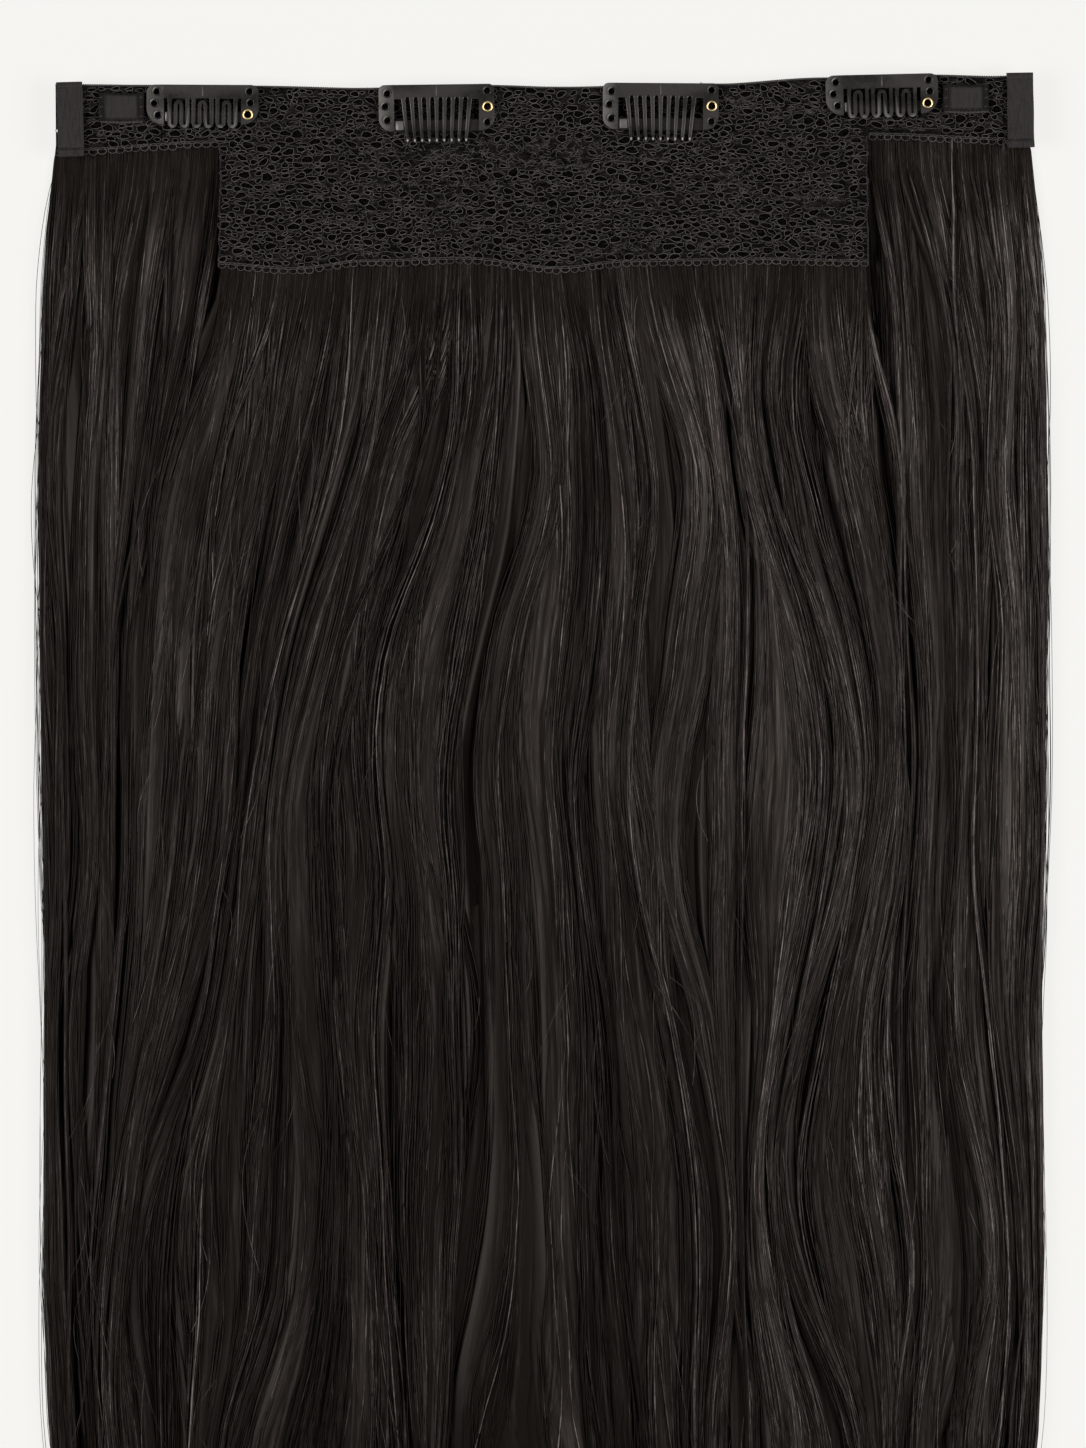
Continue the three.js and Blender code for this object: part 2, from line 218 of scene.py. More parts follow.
def laid(x: Array, drop: Array, z: Array) -> Array:
    """Turn places across, drops and heights into places in the part's frame."""
    return np.stack([x, BAND_TOP - drop, z], -1)


class Tubes:
    """Many thin closed tubes gathered into one mesh."""

    def __init__(self, sides: int = 3) -> None:
        """Start with no tubes.

        Args:
            sides: Sides of every tube.
        """
        self.sides = sides
        self.points: list[Array] = []
        self.faces: list[Array] = []
        self.caps: list[Array] = []
        self.shades: list[Array] = []
        self.courses: list[Array] = []
        self.count = 0
        self.tubes = 0

    def add(self, lines: Array, radii: Array, shades: Array, closed: bool = False) -> None:
        """Add tubes that share a number of points.

        Args:
            lines: Centre lines as (tube, point, xyz), in millimetres.
            radii: Radius at each (tube, point).
            shades: Lightness of each tube from 0 to 1, or of each (tube, point).
            closed: Whether each line is a ring that meets itself.
        """
        lines = np.asarray(lines, float)
        n, p = lines.shape[:2]
        if closed:
            along = np.roll(lines, -1, axis=1) - np.roll(lines, 1, axis=1)
        else:
            along = np.gradient(lines, axis=1)
        along /= np.maximum(np.linalg.norm(along, axis=2, keepdims=True), 1e-9)
        up = np.zeros_like(along)
        up[..., 2] = 1.0
        steep = np.abs(along[..., 2]) > 0.9
        up[steep] = (0.0, 1.0, 0.0)
        across = np.cross(along, up)
        across /= np.maximum(np.linalg.norm(across, axis=2, keepdims=True), 1e-9)
        normal = np.cross(across, along)
        angles = math.pi / 2 + 2 * math.pi * np.arange(self.sides) / self.sides
        ring = np.cos(angles)[:, None] * across[:, :, None, :]
        ring = ring + np.sin(angles)[:, None] * normal[:, :, None, :]
        radii = np.broadcast_to(np.asarray(radii, float), (n, p))
        points = lines[:, :, None, :] + radii[:, :, None, None] * ring
        shades = np.asarray(shades, float)
        shades = np.broadcast_to(shades[:, None] if shades.ndim == 1 else shades, (n, p))
        steps = np.linalg.norm(np.diff(lines, axis=1), axis=2)
        run = np.concatenate([np.zeros((n, 1)), np.cumsum(steps, axis=1)], axis=1)
        seed = (self.tubes + np.arange(n))[:, None] * 3.7 + 0.0 * run
        course = np.stack([seed, run, 0.0 * run], -1)
        self.tubes += n
        shades, course = (np.repeat(each[:, :, None], self.sides, 2) for each in (shades, course))
        self.loft(points, shades, course, closed)

    def loft(self, points: Array, shades: Array, courses: Array, closed: bool = False) -> None:
        """Add closed forms through rings of points, each as many as the sides.

        Args:
            points: Places as (form, ring, side, xyz), in millimetres.
            shades: Lightness at each of them.
            courses: Where each is across and along the hair it shows.
            closed: Whether each form meets itself.
        """
        n, p = points.shape[:2]
        self.points.append(points.reshape(-1, 3))
        self.shades.append(shades.reshape(-1))
        self.courses.append(courses.reshape(-1, 3))
        steps = p if closed else p - 1
        tube = np.arange(n)[:, None, None] * p
        here = np.arange(steps)[None, :, None]
        following = (here + 1) % p
        side = np.arange(self.sides)[None, None, :]
        turn = (side + 1) % self.sides
        a = self.count + (tube + here) * self.sides + side
        b = self.count + (tube + here) * self.sides + turn
        c = self.count + (tube + following) * self.sides + turn
        d = self.count + (tube + following) * self.sides + side
        self.faces.append(np.stack([a, d, c, b], axis=-1).reshape(-1, 4))
        if not closed:
            first = self.count + np.arange(n)[:, None] * p * self.sides + np.arange(self.sides)[None, :]
            last = first + (p - 1) * self.sides
            self.caps.append(first)
            self.caps.append(last[:, ::-1].copy())
        self.count += n * p * self.sides

    def build(self, name: str) -> Object:
        """Make the mesh.

        Args:
            name: The object's name.

        Returns:
            The object, linked to the scene.
        """
        points = np.concatenate(self.points) * MM
        quads = np.concatenate(self.faces)
        caps = np.concatenate(self.caps) if self.caps else np.zeros((0, self.sides), int)
        mesh = bpy.data.meshes.new(name)
        mesh.vertices.add(len(points))
        mesh.vertices.foreach_set("co", points.astype(np.float32).ravel())
        corners = np.concatenate([quads.ravel(), caps.ravel()]).astype(np.int32)
        mesh.loops.add(len(corners))
        mesh.loops.foreach_set("vertex_index", corners)
        sizes = np.concatenate([np.full(len(quads), 4), np.full(len(caps), self.sides)])
        starts = np.concatenate([[0], np.cumsum(sizes)[:-1]]).astype(np.int32)
        mesh.polygons.add(len(sizes))
        mesh.polygons.foreach_set("loop_start", starts)
        mesh.update(calc_edges=True)
        shade = mesh.attributes.new("shade", "FLOAT", "POINT")
        shade.data.foreach_set("value", np.concatenate(self.shades).astype(np.float32))
        course = mesh.attributes.new("course", "FLOAT_VECTOR", "POINT")
        course.data.foreach_set("vector", np.concatenate(self.courses).astype(np.float32).ravel())
        mesh.shade_smooth()
        mesh.validate()
        return linked(name, mesh)


def grid_sheet(name: str, x: Array, y: Array, low: Array, high: Array) -> Object:
    """Make a closed sheet over a grid.

    Args:
        name: The object's name.
        x: Places across, as (row, column), with rows running down the hair.
        y: Places along, as (row, column).
        low: Heights of the underside.
        high: Heights of the upper side.

    Returns:
        The object.
    """
    rows, columns = x.shape
    layer = rows * columns
    points = np.concatenate(
        [np.stack([x, y, low], -1).reshape(-1, 3), np.stack([x, y, high], -1).reshape(-1, 3)]
    )
    ids = np.arange(layer).reshape(rows, columns)
    a, b, c, d = ids[:-1, :-1], ids[:-1, 1:], ids[1:, 1:], ids[1:, :-1]
    under = np.stack([a, b, c, d], -1).reshape(-1, 4)
    upper = np.stack([a, d, c, b], -1).reshape(-1, 4) + layer
    rim = np.concatenate([ids[:-1, 0], ids[-1, :-1], ids[:0:-1, -1], ids[0, :0:-1]])
    following = np.roll(rim, -1)
    wall = np.stack([rim, following, following + layer, rim + layer], -1)
    mesh = bpy.data.meshes.new(name)
    mesh.from_pydata((points * MM).tolist(), [], np.concatenate([under, upper, wall]).tolist())
    mesh.shade_smooth()
    return linked(name, mesh)


def mark(obj: Object, name: str, values: Array) -> None:
    """Write a value at every vertex for the finish to read."""
    layer = obj.data.attributes.new(name, "FLOAT", "POINT")
    layer.data.foreach_set("value", np.asarray(values, np.float32))


class Nodes:
    """A material in the making: its node tree and its shader."""

    def __init__(self, name: str, fixed: dict[str, float | Colour]) -> None:
        """Start the material.

        Args:
            name: Its name.
            fixed: Values of the shader's own sockets, by name.
        """
        self.material = bpy.data.materials.new(name)
        self.material.use_nodes = True
        self.tree = self.material.node_tree
        self.shader = self.tree.nodes["Principled BSDF"]
        for key, value in fixed.items():
            self.shader.inputs[key].default_value = value if isinstance(value, float) else (*value, 1.0)

    def add(self, kind: str) -> bpy.types.Node:
        """Add a node of a kind."""
        return self.tree.nodes.new("ShaderNode" + kind)

    def link(self, source: Socket, target: Socket) -> None:
        """Link two sockets."""
        self.tree.links.new(source, target)

    def give(self, name: str, source: Socket) -> None:
        """Link a socket to one of the shader's own."""
        self.link(source, self.shader.inputs[name])

    def marked(self, name: str, output: str = "Fac") -> Socket:
        """Read what is marked at the vertices.

        Args:
            name: Name of the mark.
            output: Which output is read.

        Returns:
            The mark's socket.
        """
        node = self.add("Attribute")
        node.attribute_name = name
        return node.outputs[output]

    def noise(
        self, scale: float, stretch: Triple = (1.0, 1.0, 1.0), detail: float = 3.0,
        source: Socket | None = None, roughness: float = 0.5,
    ) -> Socket:
        """Add a noise.

        Args:
            scale: Cells a unit of the coordinates.
            stretch: How the coordinates are scaled first.
            detail: Octaves of the noise.
            source: The coordinates, or the piece's own in metres if there are none.
            roughness: How strongly the finer octaves show.

        Returns:
            The noise's socket.
        """
        source = source or self.add("TexCoord").outputs["Object"]
        turn = self.add("Mapping")
        turn.inputs["Scale"].default_value = stretch
        noise = self.add("TexNoise")
        for key, value in (("Scale", scale), ("Detail", detail), ("Roughness", roughness)):
            noise.inputs[key].default_value = value
        self.link(source, turn.inputs["Vector"])
        self.link(turn.outputs["Vector"], noise.inputs["Vector"])
        return noise.outputs["Fac"]

    def combine(self, operation: str, *terms: Socket | float) -> Socket:
        """Work out a value from sockets and numbers.

        Args:
            operation: What is done with the terms.
            terms: The sockets and numbers, in order.

        Returns:
            The result's socket.
        """
        node = self.add("Math")
        node.operation = operation
        for socket, term in zip(node.inputs, terms):
            if isinstance(term, float):
                socket.default_value = term
            else:
                self.link(term, socket)
        return node.outputs["Value"]

    def mapped(self, value: Socket, to: Pair, source: Pair = (0.0, 1.0)) -> Socket:
        """Bring a value from one range to another.

        Args:
            value: The value's socket.
            to: The range it is brought to.
            source: The range it comes from.

        Returns:
            The result's socket.
        """
        node = self.add("MapRange")
        for key, number in zip(("From Min", "From Max", "To Min", "To Max"), (*source, *to)):
            node.inputs[key].default_value = number
        self.link(value, node.inputs["Value"])
        return node.outputs["Result"]

    def ramp(self, value: Socket, stops: Stops) -> Socket:
        """Turn a value into a colour.

        Args:
            value: The value's socket.
            stops: Places from 0 to 1 with their colours.

        Returns:
            The colour's socket.
        """
        node = self.add("ValToRGB")
        self.link(value, node.inputs["Fac"])
        ramp = node.color_ramp
        while len(ramp.elements) < len(stops):
            ramp.elements.new(0.5)
        for element, (place, colour) in zip(ramp.elements, stops):
            element.position = place
            element.color = (*colour, 1.0)
        return node.outputs["Color"]

    def bump(self, height: Socket, strength: float, distance: float) -> None:
        """Join a height to the shader's normal.

        Args:
            height: The height's socket.
            strength: How strongly it shows.
            distance: Metres from the lowest to the highest.
        """
        node = self.add("Bump")
        node.inputs["Strength"].default_value = strength
        node.inputs["Distance"].default_value = distance
        self.link(height, node.inputs["Height"])
        self.give("Normal", node.outputs["Normal"])


@dataclass(frozen=True)
class Finish:
    """What every finish has."""

    name: str


@dataclass(frozen=True)
class HairFinish(Finish):
    """Brown-black hair, each strand with its own lightness and painted light and shade."""

    stops: Stops = (
        (0.0, (0.0042, 0.0031, 0.0025)),
        (0.25, (0.0106, 0.0081, 0.0068)),
        (0.5, (0.0262, 0.0213, 0.0188)),
        (0.75, (0.0655, 0.0553, 0.0505)),
        (1.0, (0.165, 0.143, 0.132)),
    )
    gleam: Colour = (1.0, 0.88, 0.77)
    roughness: float = 0.42
    gloss: float = 0.09
    flecks: float = 0.08
    unevenness: Pair = (-0.42, 0.26)

    def make(self) -> Material:
        """Make the material, which reads the shade marked on the strands: their own lightness and their
        painted light and shade.

        Returns:
            The material.
        """
        fixed = {"Roughness": self.roughness, "Specular IOR Level": self.gloss, "Specular Tint": self.gleam}
        nodes = Nodes(self.name, fixed)
        course = nodes.marked("course", "Vector")
        mottle = nodes.noise(1.0, (1.0, self.flecks, 1.0), 4.0, course, 0.72)
        spread = nodes.mapped(mottle, self.unevenness, (0.33, 0.67))
        tone = nodes.combine("ADD", spread, nodes.marked("shade"))
        nodes.give("Base Color", nodes.ramp(tone, self.stops))
        return nodes.material


@dataclass(frozen=True)
class DeepHairFinish(Finish):
    """The hair seen between the strands: dark hair made near black as painted shade, with fine lines down
    its length.
    """

    stops: Stops = ((0.35, (0.0026, 0.0019, 0.0015)), (0.75, (0.012, 0.0094, 0.0078)))
    lines: Triple = (1500.0, 9.0, 300.0)

    def make(self) -> Material:
        """Make the material, which runs its lines down the piece.

        Returns:
            The material.
        """
        nodes = Nodes(self.name, {"Roughness": 0.8, "Specular IOR Level": 0.04})
        lines = nodes.noise(1.0, self.lines)
        nodes.give("Base Color", nodes.ramp(lines, self.stops))
        nodes.bump(lines, 0.8, 0.0006)
        return nodes.material


@dataclass(frozen=True)
class YarnFinish(Finish):
    """Charcoal yarn of the lace: spun fibres, a dull sheen."""

    stops: Stops = ((0.2, (0.012, 0.0108, 0.01)), (1.0, (0.104, 0.0925, 0.086)))
    fibre: float = 2600.0

    def make(self) -> Material:
        """Make the material, which reads the yarns' own shade.

        Returns:
            The material.
        """
        fixed = {"Roughness": 0.72, "Specular IOR Level": 0.12, "Sheen Weight": 0.05, "Sheen Roughness": 0.5}
        nodes = Nodes(self.name, fixed)
        fibre = nodes.noise(self.fibre, detail=2.0)
        tone = nodes.combine("MULTIPLY_ADD", fibre, 0.6, nodes.marked("shade"))
        nodes.give("Base Color", nodes.ramp(tone, self.stops))
        nodes.bump(fibre, 0.5, 0.0002)
        return nodes.material


@dataclass(frozen=True)
class KnitFinish(Finish):
    """The lace's knitted ground: fine courses of charcoal thread that run along the band."""

    stops: Stops = ((0.56, (0.0006, 0.0005, 0.0005)), (0.84, (0.0140, 0.0121, 0.0111)))
    courses: Triple = (650.0, 2300.0, 900.0)

    def make(self) -> Material:
        """Make the material, courses along the band broken by stitches, with painted shade where the clips
        cover it.

        Returns:
            The material.
        """
        nodes = Nodes(self.name, {"Roughness": 0.9, "Specular IOR Level": 0.04})
        courses = nodes.noise(1.0, self.courses, 1.0)
        stitches = nodes.noise(2200.0, detail=1.0)
        patches = nodes.combine("MULTIPLY", nodes.noise(330.0, (0.55, 1.0, 1.0), 2.0), 0.4)
        both = nodes.combine("ADD", courses, stitches)
        mixed = nodes.combine("MULTIPLY_ADD", both, 0.45, patches)
        # Painted shade: the dim mark darkens the ground under the clips.
        dimmed = nodes.combine("SUBTRACT", mixed, nodes.marked("dim"))
        nodes.give("Base Color", nodes.ramp(dimmed, self.stops))
        nodes.bump(both, 0.4, 0.0003)
        return nodes.material


@dataclass(frozen=True)
class BackingFinish(Finish):
    """The net behind the lace, seen through its holes: black, and darker still as painted shade under the
    lace.
    """

    stops: Stops = ((0.0, (0.0035, 0.003, 0.0028)), (0.2, (0.0006, 0.0005, 0.0004)))
    mesh: float = 1100.0

    def make(self) -> Material:
        """Make the material, a fine net that hardly shows.

        Returns:
            The material.
        """
        nodes = Nodes(self.name, {"Roughness": 0.95, "Specular IOR Level": 0.02})
        cells = nodes.add("TexVoronoi")
        cells.feature = "DISTANCE_TO_EDGE"
        cells.inputs["Scale"].default_value = self.mesh
        nodes.link(nodes.add("TexCoord").outputs["Object"], cells.inputs["Vector"])
        net = cells.outputs["Distance"]
        nodes.give("Base Color", nodes.ramp(net, self.stops))
        nodes.bump(net, 0.6, -0.0003)
        return nodes.material


@dataclass(frozen=True)
class RibbonFinish(Finish):
    """Matte black ribbon: fine warp along its length, weft across."""

    warp: Triple = (2600.0, 260.0, 900.0)
    weft: Triple = (500.0, 3200.0, 900.0)
    stops: Stops = ((0.3, (0.004, 0.0035, 0.0032)), (1.0, (0.0245, 0.022, 0.0207)))

    def make(self) -> Material:
        """Make the material, two crossed sets of threads.

        Returns:
            The material.
        """
        fixed = {"Roughness": 0.75, "Specular IOR Level": 0.1, "Sheen Weight": 0.03, "Sheen Roughness": 0.45}
        nodes = Nodes(self.name, fixed)
        warp = nodes.noise(1.0, self.warp, 2.0)
        weft = nodes.noise(1.0, self.weft, 2.0)
        both = nodes.combine("MULTIPLY_ADD", weft, 0.4, warp)
        mixed = nodes.combine("MULTIPLY_ADD", nodes.noise(160.0), 0.4, both)
        # The tone mark holds the cloth's lighter and darker parts and, on the loops, painted shade at the
        # folds.
        toned = nodes.combine("ADD", mixed, nodes.marked("tone"))
        nodes.give("Base Color", nodes.ramp(toned, self.stops))
        nodes.bump(both, 0.6, 0.0002)
        return nodes.material


@dataclass(frozen=True)
class LacquerFinish(Finish):
    """Black lacquer on spring sheet: a soft sheen with faint orange peel, painted highlights at tips, lips,
    latch, seam and end plates, and painted shade that takes the gloss off the parts below the plates.
    """

    stops: Stops = ((0.4, (0.0062, 0.0055, 0.005)), (0.85, (0.014, 0.0127, 0.0117)))
    gleam: Colour = (1.0, 0.93, 0.88)
    highlight_colour: Colour = (0.34, 0.32, 0.3)
    roughness: Pair = (0.21, 0.4)
    gloss: Pair = (0.42, 0.08)

    def make(self) -> Material:
        """Make the material, with a thin coat over a slightly bowed sheet.

        Returns:
            The material.
        """
        nodes = Nodes(self.name, {"Specular Tint": self.gleam, "Coat Weight": 0.06, "Coat Roughness": 0.2})
        cloud = nodes.noise(700.0, detail=4.0)
        # Painted highlights: where the mix is marked, the dark lacquer turns towards a pale grey that stands
        # for a reflection.
        highlighted = nodes.add("Mix")
        highlighted.data_type = "RGBA"
        highlighted.inputs[7].default_value = (*self.highlight_colour, 1.0)
        nodes.link(nodes.marked("painted_highlight"), highlighted.inputs[0])
        nodes.link(nodes.ramp(cloud, self.stops), highlighted.inputs[6])
        nodes.give("Base Color", highlighted.outputs[2])
        nodes.give("Roughness", nodes.mapped(cloud, self.roughness))
        peel = nodes.noise(2400.0, detail=2.0)
        bow = nodes.noise(75.0, (1.0, 1.6, 1.0), 0.0)
        nodes.bump(nodes.combine("MULTIPLY_ADD", bow, 80.0, peel), 1.0, 0.000015)
        # Painted shade: the dim mark takes the gloss off the bar and walls below the plates, as if the
        # plates shaded them.
        nodes.give("Specular IOR Level", nodes.mapped(nodes.marked("dim"), self.gloss))
        return nodes.material


@dataclass(frozen=True)
class BrassFinish(Finish):
    """Polished brass with fine turning marks."""

    stops: Stops = ((0.3, (0.80, 0.58, 0.26)), (0.8, (0.98, 0.80, 0.45)))
    roughness: Pair = (0.3, 0.44)

    def make(self) -> Material:
        """Make the material, a metal with slightly uneven polish.

        Returns:
            The material.
        """
        nodes = Nodes(self.name, {"Metallic": 1.0})
        cloud = nodes.noise(1800.0)
        nodes.give("Base Color", nodes.ramp(cloud, self.stops))
        nodes.give("Roughness", nodes.mapped(cloud, self.roughness))
        return nodes.material


@dataclass(frozen=True)
class GroundFinish(Finish):
    """The plain pale ground."""

    colour: Colour = (0.09, 0.0892, 0.0867)
    glow: Colour = (1.0, 0.991, 0.963)
    glow_strength: float = 0.795

    def make(self) -> Material:
        """Make the material, a matte off-white with the faintest tooth.

        Returns:
            The material.
        """
        matte = {"Base Color": self.colour, "Roughness": 0.9, "Specular IOR Level": 0.1}
        lit = {"Emission Color": self.glow, "Emission Strength": self.glow_strength}
        nodes = Nodes(self.name, matte | lit)
        nodes.bump(nodes.noise(900.0), 0.05, 0.0002)
        nodes.material.cycles.emission_sampling = "NONE"
        return nodes.material


@dataclass
class Cut:
    """The lace's outline and the surface it lies in, which the hair below keeps clear of."""

    half_width: float = 136.8
    flap_half_width: float = 91.0
    bed: float = 6.0
    level_drop: float = 22.0
    climb: float = 0.07
    top_edge: Table = field(
        default_factory=lambda: [
            (-137, 2.9), (-80, 3.3), (-52, 3.9), (-14, 3.1), (3, 3.6), (49, 2.7), (78, 1.0),
            (111, 0.2), (126, 0.6), (137, 0.3),
        ]
    )
    band_edge: Table = field(
        default_factory=lambda: [(-137, 23.0), (-91, 20.6), (91, 18.4), (137, 20.0)]
    )
    flap_edge: Table = field(
        default_factory=lambda: [
            (-91, 54.9), (-70, 56.4), (-50, 54.2), (-22, 53.4), (4, 56.2), (24, 54.2), (60, 53.6),
            (91, 54.2),
        ]
    )
    flap_ripple: Table = field(
        default_factory=lambda: [
            (-91, 0.2), (-70, 1.0), (-50, 0.3), (-22, 0.0), (4, 1.0), (24, 0.3), (60, 0.0),
            (91, 0.3),
        ]
    )

    def top(self, x: Array) -> Array:
        """Drop of the upper edge."""
        return eased(self.top_edge, x)

    def lower(self, x: Array) -> Array:
        """Drop of the lower edge, band or flap."""
        inside = np.abs(x) < self.flap_half_width
        return np.where(inside, eased(self.flap_edge, x), eased(self.band_edge, x))

    def underside(self, x: Array, drop: Array) -> Array:
        """Height of the lace's underside."""
        inside = np.abs(x) < self.flap_half_width
        down = smoothstep(self.level_drop, 56.0, drop)
        ripple = np.where(inside, eased(self.flap_ripple, x) * down, 0.0)
        return self.bed + self.climb * np.maximum(0.0, drop - self.level_drop) + ripple


@dataclass
class Flow:
    """The hair's course: where a strand that leaves the band at a place has got to further down."""

    drops: tuple[float, ...] = (25, 58, 92, 125, 160, 195, 230, 265, 300, 340, 385, 457)
    courses: tuple[tuple[float, ...], ...] = (
        (-137, -140, -141, -142, -142, -141, -140, -140, -140, -140, -138, -135),
        (-124, -127, -129, -130, -130, -129, -129, -130, -131, -130, -128, -124),
        (-110, -114, -117, -119, -121, -120, -121, -121, -123, -127, -125, -119),
        (-98, -105, -110, -115, -118, -118, -118, -120, -123, -127, -124, -117),
        (-88, -88, -98, -108, -113, -114, -114, -116, -121, -126, -124, -116),
        (-77, -77, -82, -87, -91, -95, -99, -108, -118, -123, -121, -113),
        (-63, -63, -69, -75, -81, -85, -90, -96, -108, -117, -112, -103),
        (-49, -49, -54, -62, -73, -79, -82, -86, -92, -88, -99, -96),
        (-35, -35, -40, -49, -61, -70, -69, -66, -63, -64, -84, -86),
        (-21, -21, -23, -30, -44, -46, -41, -43, -42, -40, -35, -32),
        (-7, -7, -3, -4, -13, -22, -18, -16, -15, -21, -29, -26),
        (2, 2, 9, 10, 4, -2, 3, 5, 4, 6, 13, 16),
        (16, 16, 24, 28, 26, 21, 26, 32, 39, 41, 41, 41),
        (30, 30, 39, 44, 42, 36, 37, 46, 50, 52, 52, 50),
        (42, 42, 50, 55, 55, 50, 51, 55, 55, 55, 56, 55),
        (55, 55, 54, 60, 68, 73, 69, 64, 60, 61, 73, 77),
        (69, 69, 63, 70, 85, 90, 84, 72, 65, 69, 90, 86),
        (82, 82, 84, 93, 101, 101, 95, 86, 85, 95, 98, 94),
        (94, 100, 101, 101, 103, 105, 103, 101, 103, 107, 102, 100),
        (106, 113, 117, 116, 117, 117, 114, 116, 120, 125, 119, 114),
        (119, 122, 125, 125, 125, 124, 124, 127, 131, 134, 131, 125),
        (134, 136, 138, 138, 138, 138, 137, 137, 139, 139, 137, 133),
    )

    def at(self, root: Array, drop: Array) -> Array:
        """Read the course.

        Args:
            root: Where the strand leaves the band.
            drop: How far down it is read.

        Returns:
            Its place across.
        """
        table = np.array(self.courses, float)
        table[:, 1:-1] = 0.7 * table[:, 1:-1] + 0.15 * (table[:, :-2] + table[:, 2:])
        rows = np.array(self.drops, float)
        slopes = np.gradient(table, rows, axis=1)
        root, drop = np.broadcast_arrays(np.asarray(root, float), np.asarray(drop, float))
        held = np.clip(root, table[0, 0], table[-1, 0])
        after = np.clip(np.searchsorted(table[:, 0], held), 1, len(table) - 1)
        share = (held - table[after - 1, 0]) / (table[after, 0] - table[after - 1, 0])
        drop = np.clip(drop, rows[0], rows[-1])
        k = np.clip(np.searchsorted(rows, drop), 1, len(rows) - 1) - 1
        step = rows[k + 1] - rows[k]
        t = (drop - rows[k]) / step
        ease = t * t * (3.0 - 2.0 * t)
        leave, arrive = t * (1.0 - t) ** 2 * step, t * t * (t - 1.0) * step

        def line(i: Array) -> Array:
            """Follow one course."""
            ends = table[i, k] * (1.0 - ease) + table[i, k + 1] * ease
            return ends + leave * slopes[i, k] + arrive * slopes[i, k + 1]

        return line(after - 1) * (1.0 - share) + line(after) * share + root - held


@dataclass(frozen=True)
class Lock:
    """One lock of hair: its start, width and fullness, how it lies, its lightness, how it sways and ends."""

    root: float
    half_width: float
    strands: int
    sink: float
    crown: float
    tone: float
    seed: float
    sway: float
    short: float


